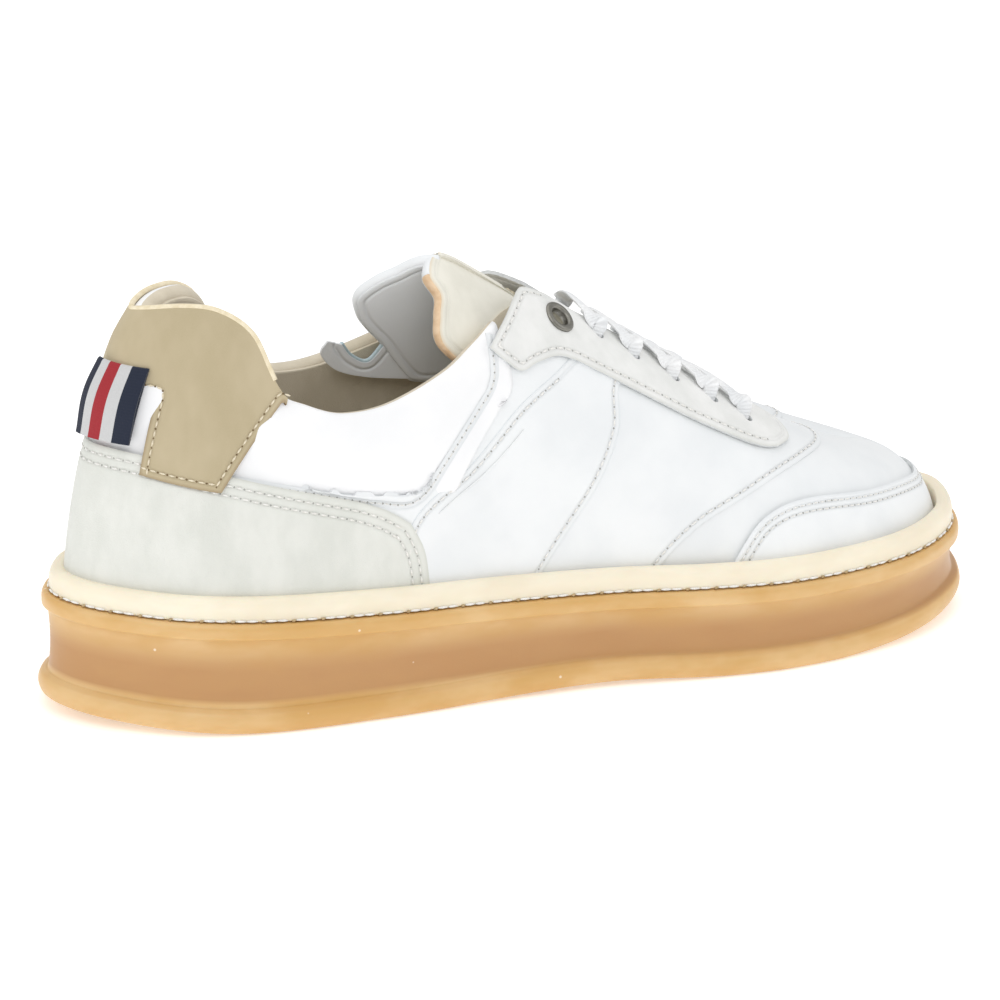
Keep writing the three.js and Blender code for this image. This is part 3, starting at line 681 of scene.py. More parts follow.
class NodeTree:
    """Shorthand for a node tree."""

    def __init__(self, tree: bpy.types.NodeTree) -> None:
        """Keeps the tree."""
        self.tree = tree

    def add(self, kind: str, inputs: Optional[dict] = None, **settings: object) -> bpy.types.Node:
        """A node with its settings; an input may be a socket to link or a plain value."""
        node = self.tree.nodes.new(kind)
        for key, value in settings.items():
            setattr(node, key, value)
        for key, value in (inputs or {}).items():
            if isinstance(value, bpy.types.NodeSocket):
                self.tree.links.new(value, node.inputs[key])
            else:
                node.inputs[key].default_value = value
        return node

    def math(self, operation: str, a: object, b: object = 0.0, clamp: bool = False) -> bpy.types.NodeSocket:
        """A sum of two values."""
        return self.add("ShaderNodeMath", {0: a, 1: b}, operation=operation, use_clamp=clamp).outputs[0]

    def mix(self, share: object, a: object, b: object) -> bpy.types.NodeSocket:
        """A colour between two."""
        return self.add("ShaderNodeMix", {0: share, 6: a, 7: b}, data_type="RGBA").outputs[2]

    def ramp(self, value: object, low: float, high: float) -> bpy.types.NodeSocket:
        """A value brought from low..high to 0..1, clamped and smooth."""
        node = self.add("ShaderNodeMapRange", {0: value, 1: low, 2: high}, interpolation_type="SMOOTHSTEP")
        return node.outputs[0]

    def noise(self, scale: object, detail: float = 2.0, rough: float = 0.5,
              stretch: tuple[float, float, float] = (1, 1, 1)) -> bpy.types.NodeSocket:
        """Noise in the piece's own space."""
        place = self.add("ShaderNodeTexCoord").outputs["Object"]
        if stretch != (1, 1, 1):
            place = self.add("ShaderNodeMapping", {"Vector": place, "Scale": stretch}).outputs[0]
        return self.add("ShaderNodeTexNoise", {"Vector": place, "Scale": scale, "Detail": detail,
                                               "Roughness": rough}).outputs["Fac"]

    def value(self, name: str) -> bpy.types.NodeSocket:
        """A value carried by the piece's points."""
        return self.add("ShaderNodeAttribute", attribute_name=name).outputs["Fac"]


class Effects:
    """The shared effects, each built once as a node group."""

    made: dict[str, bpy.types.NodeTree] = {}

    @classmethod
    def group(cls, name: str, inputs: dict[str, float], outputs: Sequence[str],
              build: Callable[[NodeTree, bpy.types.Node], dict]) -> bpy.types.NodeTree:
        """Makes a group, or gives back the one made before.

        Args:
            name: name of the group.
            inputs: each input and its usual value.
            outputs: names of what it gives back.
            build: lays its nodes and returns a socket for each output.

        Returns:
            The group.
        """
        if name not in cls.made:
            tree = bpy.data.node_groups.new(name, "ShaderNodeTree")
            for key, value in inputs.items():
                socket = tree.interface.new_socket(key, in_out="INPUT", socket_type="NodeSocketFloat")
                socket.default_value = value
            for key in outputs:
                tree.interface.new_socket(key, in_out="OUTPUT", socket_type="NodeSocketFloat")
            nodes = NodeTree(tree)
            results = build(nodes, nodes.add("NodeGroupInput"))
            nodes.add("NodeGroupOutput", results)
            cls.made[name] = tree
        return cls.made[name]

    @classmethod
    def grain(cls) -> bpy.types.NodeTree:
        """Pebbled skin: cells with fine pores between."""
        def build(n: NodeTree, given: bpy.types.Node) -> dict:
            """Lays the nodes."""
            place = n.add("ShaderNodeTexCoord").outputs["Object"]
            warp = n.noise(n.math("MULTIPLY", given.outputs["Cells"], 0.35), 2)
            cells = n.add("ShaderNodeTexVoronoi", {"Vector": place, "Scale": given.outputs["Cells"]},
                          feature="SMOOTH_F1").outputs["Distance"]
            fine = n.noise(n.math("MULTIPLY", given.outputs["Cells"], 2.7), 3)
            height = n.math("ADD", n.math("MULTIPLY", cells, -0.6), n.math("MULTIPLY", fine, 0.5))
            return {"Height": n.math("ADD", height, n.math("MULTIPLY", warp, 0.7)), "Cloud": n.noise(45, 3)}
        return cls.group("skin_grain", {"Cells": 900.0}, ("Height", "Cloud"), build)

    @classmethod
    def nap(cls) -> bpy.types.NodeTree:
        """Brushed fibres of suede: fine fuzz and soft hand marks."""
        def build(n: NodeTree, given: bpy.types.Node) -> dict:
            """Lays the nodes."""
            fuzz = n.noise(given.outputs["Fuzz"], 4, 0.7)
            marks = n.noise(given.outputs["Marks"], 3, 0.6, (1, 1, 0.5))
            height = n.math("ADD", fuzz, n.math("MULTIPLY", marks, 0.3))
            return {"Height": height, "Shade": n.ramp(marks, 0.3, 0.7)}
        return cls.group("suede_nap", {"Fuzz": 2600.0, "Marks": 90.0}, ("Height", "Shade"), build)

    @classmethod
    def seam(cls) -> bpy.types.NodeTree:
        """The pull of stitching: a groove at one or two distances from the edge, and an edge band for
        cut-edge wear, which leather also uses for painted shade in grooves and at seams.
        """
        def build(n: NodeTree, given: bpy.types.Node) -> dict:
            """Lays the nodes."""
            edge = n.value("edge")
            total = None
            for key in ("First Row", "Second Row"):
                off = n.math("DIVIDE", n.math("SUBTRACT", edge, given.outputs[key]), given.outputs["Width"])
                pit_shade = n.math("POWER", 2.718, n.math("MULTIPLY", n.math("MULTIPLY", off, off), -1.0))
                total = pit_shade if total is None else n.math("ADD", total, pit_shade, clamp=True)
            return {"Groove": total, "Edge": n.math("SUBTRACT", 1.0, n.ramp(edge, 0.0, 1.1))}
        values = {"First Row": 2.0, "Second Row": 50.0, "Width": 0.55}
        return cls.group("seam_pull", values, ("Groove", "Edge"), build)

    @classmethod
    def weave(cls) -> bpy.types.NodeTree:
        """Threads crossing at right angles along the piece's own directions."""
        def build(n: NodeTree, given: bpy.types.Node) -> dict:
            """Lays the nodes."""
            lines = []
            for key in ("along", "across"):
                turn = n.math("MULTIPLY", n.value(key), given.outputs["Threads " + key.title()])
                lines.append(n.math("ABSOLUTE", n.math("SINE", n.math("MULTIPLY", turn, math.pi))))
            fuzz = n.noise(2500, 2)
            height = n.math("ADD", n.math("MULTIPLY", lines[0], lines[1]), n.math("MULTIPLY", fuzz, 0.35))
            return {"Height": height, "Shade": lines[0]}
        values = {"Threads Along": 1.0, "Threads Across": 1.0}
        return cls.group("weave", values, ("Height", "Shade"), build)


@dataclass(frozen=True)
class Finish:
    """What every finish shares."""

    name: str
    colour: str
    roughness: float = 0.6

    def start(self) -> tuple[bpy.types.Material, NodeTree, bpy.types.Node]:
        """A new material, its tree and its shader."""
        material = bpy.data.materials.new(self.name)
        material.use_nodes = True
        material.diffuse_color = linear(self.colour)
        shader = material.node_tree.nodes["Principled BSDF"]
        return material, NodeTree(material.node_tree), shader

    @staticmethod
    def effect(n: NodeTree, group: bpy.types.NodeTree, values: dict[str, float]) -> bpy.types.Node:
        """A shared effect in this material, with its own values."""
        node = n.add("ShaderNodeGroup", node_tree=group)
        for key, value in values.items():
            node.inputs[key].default_value = value
        return node

    @staticmethod
    def connect(n: NodeTree, shader: bpy.types.Node, colour: object, roughness: object, height: object,
                distance: float) -> None:
        """Links colour, roughness and bump to the shader."""
        n.tree.links.new(colour, shader.inputs["Base Color"])
        n.tree.links.new(roughness, shader.inputs["Roughness"])
        bump = n.add("ShaderNodeBump", {"Height": height, "Distance": distance * MM})
        n.tree.links.new(bump.outputs[0], shader.inputs["Normal"])


@dataclass(frozen=True)
class Leather(Finish):
    """Coated leather with a fine pebbled skin."""

    shade: str = "D9DDE0"
    cells: float = 1000.0
    depth: float = 0.05
    rows: tuple[float, float] = (2.0, 50.0)
    coat: float = 0.05

    def material(self) -> bpy.types.Material:
        """The leather as nodes."""
        material, n, shader = self.start()
        grain = self.effect(n, Effects.grain(), {"Cells": self.cells})
        seam = self.effect(n, Effects.seam(), {"First Row": self.rows[0], "Second Row": self.rows[1]})
        cloud = n.ramp(grain.outputs["Cloud"], 0.35, 0.7)
        colour = n.mix(n.math("MULTIPLY", cloud, 0.35), linear(self.colour), linear(self.shade))
        # Painted shade in the stitch grooves and at seam creases, with real wear on cut edges: the colour
        # goes towards the shade tone there.
        seam_shade_and_edge_wear = n.math("MULTIPLY", n.math("MAXIMUM", seam.outputs["Groove"], seam.outputs["Edge"]), 0.35)
        colour = n.mix(seam_shade_and_edge_wear, colour, linear(self.shade))
        rough = n.math("ADD", n.math("MULTIPLY", grain.outputs["Cloud"], 0.16), self.roughness - 0.08)
        height = n.math("SUBTRACT", n.math("MULTIPLY", grain.outputs["Height"], self.depth),
                        n.math("MULTIPLY", seam.outputs["Groove"], 0.28))
        self.connect(n, shader, colour, rough, height, 1.0)
        shader.inputs["Coat Weight"].default_value = self.coat
        shader.inputs["Coat Roughness"].default_value = 0.35
        shader.inputs["Specular IOR Level"].default_value = 0.45
        return material


@dataclass(frozen=True)
class Suede(Finish):
    """Brushed leather with a soft nap."""

    shade: str = "CBCDC6"
    rows: tuple[float, float] = (2.0, 50.0)
    depth: float = 0.12
    sheen: float = 0.25
    edge_colour: str = "C9CAC2"
    marks: float = 90.0

    def material(self) -> bpy.types.Material:
        """The suede as nodes."""
        material, n, shader = self.start()
        nap = self.effect(n, Effects.nap(), {"Fuzz": 2600.0, "Marks": self.marks})
        seam = self.effect(n, Effects.seam(), {"First Row": self.rows[0], "Second Row": self.rows[1]})
        fine = n.ramp(nap.outputs["Height"], 0.35, 0.95)
        colour = n.mix(nap.outputs["Shade"], linear(self.colour), linear(self.shade))
        colour = n.mix(n.math("MULTIPLY", fine, 0.35), colour, linear(self.colour))
        colour = n.mix(n.math("MULTIPLY", seam.outputs["Edge"], 0.5), colour, linear(self.edge_colour))
        height = n.math("SUBTRACT", n.math("MULTIPLY", nap.outputs["Height"], self.depth),
                        n.math("MULTIPLY", seam.outputs["Groove"], 0.3))
        rough = n.math("ADD", n.math("MULTIPLY", fine, 0.08), self.roughness)
        self.connect(n, shader, colour, rough, height, 1.0)
        shader.inputs["Sheen Weight"].default_value = self.sheen
        shader.inputs["Sheen Roughness"].default_value = 0.6
        shader.inputs["Specular IOR Level"].default_value = 0.2
        return material


@dataclass(frozen=True)
class Rubber(Finish):
    """Moulded rubber with cloudy depth, painted shade on its hollow side wall and plain colour on its beads.
    """

    light: str = "EFC78D"
    hollow_shade: str = "C98F5B"
    by_height: bool = True
    specks: bool = True

    def material(self) -> bpy.types.Material:
        """The rubber as nodes."""
        material, n, shader = self.start()
        cloud = n.noise(38, 3, 0.55, (1, 1, 2.5))
        colour = n.mix(n.ramp(cloud, 0.3, 0.75), linear(self.colour), linear(self.light))
        if self.by_height:
            patchy = n.math("ADD", 0.72, n.math("MULTIPLY", cloud, 0.5))
            hollow = n.math("MULTIPLY", n.value("hollow"), patchy)
            # Painted shade on the hollow side wall between the beads.
            colour = n.mix(hollow, colour, linear(self.hollow_shade))
        if self.specks:
            place = n.add("ShaderNodeTexCoord").outputs["Object"]
            dots = n.add("ShaderNodeTexVoronoi", {"Vector": place, "Scale": 95.0}, feature="F1")
            spot = n.math("SUBTRACT", 1.0, n.ramp(dots.outputs["Distance"], 0.025, 0.05))
            colour = n.mix(n.math("MULTIPLY", spot, 0.6), colour, linear("FBF3E2"))
        fine = n.noise(1500, 3)
        height = n.math("ADD", n.math("MULTIPLY", fine, 0.05), n.math("MULTIPLY", cloud, 0.2))
        rough = n.math("ADD", n.math("MULTIPLY", cloud, 0.2), self.roughness - 0.1)
        self.connect(n, shader, colour, rough, height, 0.6)
        shader.inputs["Subsurface Weight"].default_value = 0.12
        shader.inputs["Subsurface Radius"].default_value = (0.006, 0.003, 0.0015)
        shader.inputs["Subsurface Scale"].default_value = 0.6
        shader.inputs["Coat Weight"].default_value = 0.12
        shader.inputs["Coat Roughness"].default_value = 0.25
        return material


@dataclass(frozen=True)
class Cloth(Finish):
    """Woven or knitted textile."""

    shade: str = "B9B7B0"
    along: float = 1.6
    across: float = 1.6
    depth: float = 0.12
    stripes: tuple[tuple[float, str], ...] = ()

    def material(self) -> bpy.types.Material:
        """The cloth as nodes."""
        material, n, shader = self.start()
        weave = self.effect(n, Effects.weave(), {"Threads Along": self.along, "Threads Across": self.across})
        colour = n.mix(n.ramp(n.noise(120, 3), 0.3, 0.7), linear(self.colour), linear(self.shade))
        if self.stripes:
            colour = linear(self.stripes[0][1])
            share = n.value("share")
            for start, tone in self.stripes[1:]:
                colour = n.mix(n.math("GREATER_THAN", share, start), colour, linear(tone))
        # Painted shade where the weave sits low between threads: near black on striped cloth, the shade tone
        # elsewhere.
        painted_shade = n.math("MULTIPLY", n.math("SUBTRACT", 1.0, n.ramp(weave.outputs["Height"], 0.1, 0.9)), 0.45)
        colour = n.mix(painted_shade, colour, linear("202226") if self.stripes else linear(self.shade))
        rough = n.math("ADD", n.math("MULTIPLY", weave.outputs["Shade"], 0.08), self.roughness)
        self.connect(n, shader, colour, rough, weave.outputs["Height"], self.depth)
        shader.inputs["Sheen Weight"].default_value = 0.2
        shader.inputs["Sheen Roughness"].default_value = 0.5
        shader.inputs["Specular IOR Level"].default_value = 0.25
        return material


@dataclass(frozen=True)
class Metal(Finish):
    """Dark plated metal with fine turning marks."""

    def material(self) -> bpy.types.Material:
        """The metal as nodes."""
        material, n, shader = self.start()
        marks = n.noise(700, 4, 0.6, (1, 1, 5))
        colour = n.mix(n.ramp(marks, 0.35, 0.75), linear(self.colour), linear("8D8B86"))
        rough = n.math("ADD", n.math("MULTIPLY", marks, 0.25), self.roughness - 0.1)
        self.connect(n, shader, colour, rough, marks, 0.03)
        shader.inputs["Metallic"].default_value = 1.0
        return material


@dataclass(frozen=True)
class Plain(Finish):
    """A quiet mottled finish for inner parts, thread and cut edges."""

    shade: str = "B0A890"
    scale: float = 300.0
    depth: float = 0.05

    def material(self) -> bpy.types.Material:
        """The finish as nodes."""
        material, n, shader = self.start()
        cloud = n.noise(self.scale, 3)
        colour = n.mix(n.ramp(cloud, 0.3, 0.75), linear(self.colour), linear(self.shade))
        rough = n.math("ADD", n.math("MULTIPLY", cloud, 0.15), self.roughness - 0.07)
        self.connect(n, shader, colour, rough, n.noise(self.scale * 4, 3), self.depth)
        return material


WHITE_LEATHER = Leather("white_leather", "EEF0F1", 0.46)
COLLAR_LEATHER = Leather("smooth_leather", "F6F6F7", 0.42, shade="E6E8EA", cells=1300.0, depth=0.03,
                         rows=(50.0, 50.0))
TOE_LEATHER = Leather("toe_leather", "F1F3F4", 0.48, rows=(1.8, 3.9), cells=900.0, depth=0.06)
COUNTER_SUEDE = Suede("greige_suede", "E3E4DE", 0.85, shade="D6D8D1", rows=(2.6, 5.4))
STAY_SUEDE = Suede("white_suede", "EDEDEB", 0.85, shade="DFE0DD", rows=(2.2, 50.0))
TAB_NUBUCK = Suede("tan_nubuck", "C2B496", 0.72, shade="B4A686", rows=(2.2, 50.0), depth=0.05, sheen=0.12,
                   edge_colour="8C7355", marks=60.0)
LINING_SUEDE = Suede("lining_suede", "DDD3BF", 0.85, shade="C9BEA8", rows=(50.0, 50.0), depth=0.1, sheen=0.2,
                     edge_colour="DDD3BF", marks=70.0)
TONGUE_SUEDE = Suede("cream_leather", "EBE8DC", 0.8, shade="DEDBCE", rows=(2.2, 50.0), depth=0.08,
                     edge_colour="E0C9A8")
TONGUE_LINING = Leather("grey_leather", "F3F5F6", 0.6, shade="E4E7EA", rows=(2.4, 50.0), cells=1200.0,
                        depth=0.04)
GUM = Rubber("gum_rubber", "D3A763", 0.42, light="E0BC85", hollow_shade="BB8C58")
CREAM_RUBBER = Rubber("cream_rubber", "EEE3CB", 0.5, light="F5EDD8", hollow_shade="E6D6B6", by_height=False,
                      specks=False)
LACE = Cloth("lace_cotton", "FFFFFF", 0.8, shade="F1F3F5", along=1.1, across=2.2, depth=0.16)
RIBBON = Cloth("ribbon", "F2F1EE", 0.7, along=1.15, across=0.0, depth=0.3,
               stripes=((0.0, "1A2640"), (0.25, "FFFFFF"), (0.45, "CC2B35"), (0.68, "FFFFFF"),
                        (0.86, "1A2640")))
THREAD = Plain("white_thread", "F6F5F2", 0.7, shade="E2E0DA", scale=2500.0)
TAN_THREAD = Plain("cream_thread", "EDE3CC", 0.7, shade="D8CBB0", scale=2500.0)
# Dark dots of painted shade at needle holes.
NEEDLE_HOLE_SHADE = Plain("needle_hole_shade", "B4B4AF", 0.9, shade="9C9C97", scale=900.0)
TAN_HOLE_SHADE = Plain("tan_needle_hole_shade", "7E6A4C", 0.9, shade="6A583E", scale=900.0)
BLUE_EDGE = Plain("blue_cut_edge", "C3D3D8", 0.75, shade="B2C6CC", scale=800.0)
WHITE_EDGE = Plain("white_cut_edge", "DEE0E0", 0.8, shade="C9CCCC", scale=800.0)
TAN_EDGE = Plain("dark_cut_edge", "8A7050", 0.8, shade="6F583E", scale=800.0)
PEACH_EDGE = Plain("peach_binding", "EBCFAE", 0.6, shade="DDBB94", scale=500.0)
PIPING = Plain("cream_piping", "F0E4C8", 0.55, shade="E2D3B0", scale=500.0)
# Painted shade for the inside of the eyelets.
EYELET_WELL_SHADE = Plain("eyelet_well_shade", "A7A290", 0.9, shade="8E8A7B", scale=500.0)
DARK_METAL = Metal("dark_metal", "85837B", 0.34)
STIFF_BOARD = Plain("lining_board", "D8CDB4", 0.9, scale=900.0)
# Painted shade where the strip's thread goes into the rubber.
STRIP_HOLE_SHADE = Plain("strip_hole_shade", "BFA984", 0.9, shade="AB9570")
STUDIO_PAPER = Plain("studio_paper", "FCFCFC", 0.95, shade="FAFAFA", scale=3.0)
HIDDEN = {
    "cushion_insert": Plain("eva_foam", "EDEBE4", 0.9, shade="DCD9CF", scale=700.0, depth=0.2),
    "shank": Plain("shank_fibre", "5A564E", 0.5, shade="3F3C36", scale=500.0),
    "strobel_board": Plain("board", "D9CFB8", 0.9, shade="C6BA9E", scale=900.0, depth=0.1),
}


# ---------------------------------------------------------------- the sole


@dataclass
class GumSole:
    """The moulded gum cup and the cream strip sewn on it.

    Attributes:
        around: places round the outline.
        bead_height: height of the bottom bead.
        waist, upper_bead: how far the hollow side and the upper bead stand in from the bottom bead.
        sole_edge: how far in the flat underside starts.
        wall, floor: thickness of the cup's side and bottom.
        tread_pitch, tread_depth, tread_slant: the ribs under the sole.
        strip_out, strip_in, strip_height: section of the cream strip.
        stitch_pitch: length of one stitch and its gap.
        stitch_low: height of the stitches over the cup's rim.
        thread: radius of the thread.
    """

    around: int = 440
    bead_height: float = 6.6
    waist: float = 3.5
    upper_bead: float = 1.1
    sole_edge: float = 3.4
    wall: float = 8.1
    floor: float = 7.0
    tread_pitch: float = 8.5
    tread_depth: float = 1.1
    tread_slant: float = 0.35
    strip_out: float = 3.3
    strip_in: float = 8.3
    strip_height: float = 7.0
    stitch_pitch: float = 8.8
    stitch_low: float = 0.75
    thread: float = 0.36

    def rings(self, controls: Sequence[tuple[float, Callable[[Array], Array]]], levels: int) -> Array:
        """Smooth rings through [inset, height] controls, as [around, levels, 3]."""
        u = -1 + 2 * np.arange(self.around + 1) / self.around
        rows = []
        for inset, height in controls:
            flat = LAST.footprint(u, inset)
            rows.append(np.concatenate([flat, height(flat[:, 0])[:, None]], -1).ravel())
        smooth = path_through(rows)(np.linspace(0, 1, levels))
        return smooth.reshape(levels, self.around + 1, 3).transpose(1, 0, 2)

    def cap(self, inset: float, height: Callable[[Array], Array], count: int) -> Array:
        """Rows from the middle line of the footprint out to an inset."""
        u = -1 + 2 * np.arange(self.around + 1) / self.around
        rim = LAST.footprint(u, inset)
        share = 0.1 + 0.8 * LAST.length_share(u)
        middle = LAST.spine_at(share)
        q = np.linspace(0, 1, count)[None, :, None]
        flat = middle[:, None] * (1 - q) + rim[:, None] * q
        return np.concatenate([flat, height(flat[..., 0])[..., None]], -1)

    def build(self) -> None:
        """Makes the cup, the strip and the strip's stitching."""
        g, r = LAST.ground, LAST.rim

        def lifted(base: Callable[[Array], Array], rise: float) -> Callable[[Array], Array]:
            """A height that follows the ground or the rim."""
            return lambda x: base(x) + rise

        def between(share: float) -> Callable[[Array], Array]:
            """A height in the hollow side."""
            return lambda x: (g(x) + self.bead_height + 1.8) * (1 - share) + (r(x) - 5.2) * share

        side = self.rings([
            (self.sole_edge, lifted(g, 0.0)), (1.2, lifted(g, 0.5)), (0.15, lifted(g, 2.4)),
            (0.0, lifted(g, 4.3)),
            (0.7, lifted(g, self.bead_height - 0.5)), (2.1, lifted(g, self.bead_height + 0.6)),
            (self.waist - 0.5, between(0.0)), (self.waist, between(0.45)), (self.waist - 0.7, between(1.0)),
            (self.upper_bead + 0.25, lifted(r, -4.4)), (self.upper_bead, lifted(r, -2.9)),
            (self.upper_bead + 0.1, lifted(r, -1.3)), (self.upper_bead + 0.8, lifted(r, -0.25)),
            (self.upper_bead + 2.2, lifted(r, 0.0)), (self.wall, lifted(r, 0.0))], 64)
        under = self.cap(self.sole_edge, g, 34)
        x, y = under[..., 0], under[..., 1]
        u = np.broadcast_to(np.linspace(0, 1, under.shape[1])[None], x.shape)
        wave = np.abs(((x + self.tread_slant * np.abs(y)) / self.tread_pitch) % 1 - 0.5) * 2
        inner = smooth_step((0.86 - u) / 0.06)
        under[..., 2] += self.tread_depth * inner * smooth_step((wave - 0.62) / 0.16)
        well = self.cap(self.wall, lifted(g, self.floor), 4)[:, ::-1]
        grid = np.concatenate([under[:, :-1], side, well], 1)
        height = np.clip((grid[..., 2] - g(grid[..., 0])) / (r(grid[..., 0]) - g(grid[..., 0])), 0, 1)
        low = (self.bead_height + 0.8) / 30
        # Where the side wall sits back between the beads; the gum finish paints shade there.
        hollow = smooth_step((height - low) / 0.06) * smooth_step((0.86 - height) / 0.34)
        cup = grid_object("gum_cup", grid, close=True, attributes={"hollow": hollow})
        settle(cup, SHOE, "gum_rubber", GUM.material(), stands_for=["outsole"])

        strip = self.rings([
            (self.strip_in, lifted(r, 0.3)), (self.strip_out + 0.6, lifted(r, 0.2)),
            (self.strip_out + 0.05, lifted(r, 1.4)), (self.strip_out, lifted(r, 3.4)),
            (self.strip_out + 0.3, lifted(r, 5.2)), (self.strip_out + 1.3, lifted(r, 6.7)),
            (self.strip_out + 2.6, lifted(r, self.strip_height + 0.1)),
            (self.strip_in - 0.9, lifted(r, self.strip_height - 0.2)), (self.strip_in, lifted(r, 5.8)),
            (self.strip_in, lifted(r, 0.3))], 44)
        piece = grid_object("cream_strip", strip, close=True)
        settle(piece, SHOE, "cream_rubber", CREAM_RUBBER.material(), stands_for=["foxing_strip"])
        self.stitch_strip(r)

    def stitch_strip(self, rim: Callable[[Array], Array]) -> None:
        """Long thread runs along the foot of the strip, each bedded at its ends by a darker bead of painted
        hole shade.
        """
        line = LAST.footprint(np.linspace(-1, 1, 1201), self.strip_out - 0.25)
        line = np.concatenate([line, rim(line[:, 0])[:, None] + self.stitch_low], -1)
        run = lengths(line)
        count = int(round(run[-1] / self.stitch_pitch))
        bm, hole_shade_dots = bmesh.new(), bmesh.new()
        for k in range(count):
            start = (k + 0.12) * run[-1] / count
            stop = (k + 0.86) * run[-1] / count
            place = [Vector([float(np.interp(at, run, line[:, c])) for c in range(3)])
                     for at in (start, (start + stop) / 2, stop)]
            for a, b in zip(place[:-1], place[1:]):
                self.bead(bm, a, b, self.thread)
            # A darker bead where the thread dips in: painted shade of its hole.
            onward = (place[2] - place[1]).normalized() * 1.2
            self.bead(hole_shade_dots, place[2], place[2] + onward - Vector((0, 0, 0.3)), self.thread + 0.04)
        settle(finished("strip_thread", bm), SHOE, "lace_cotton", THREAD.material())
        settle(finished("strip_thread_holes", hole_shade_dots), SHOE, "cream_rubber", STRIP_HOLE_SHADE.material())

    @staticmethod
    def bead(bm: bmesh.types.BMesh, a: Vector, b: Vector, radius: float) -> None:
        """A stretched bead of thread between two points."""
        along = b - a
        across = Vector((0, 0, 1)).cross(along).normalized()
        up = along.cross(across).normalized()
        seat = Matrix((along * 0.56, across * radius, up * radius)).transposed().to_4x4()
        seat.translation = (a + b) / 2 * MM
        bmesh.ops.create_uvsphere(bm, u_segments=6, v_segments=6, radius=MM, matrix=seat)


# ---------------------------------------------------------------- the upper


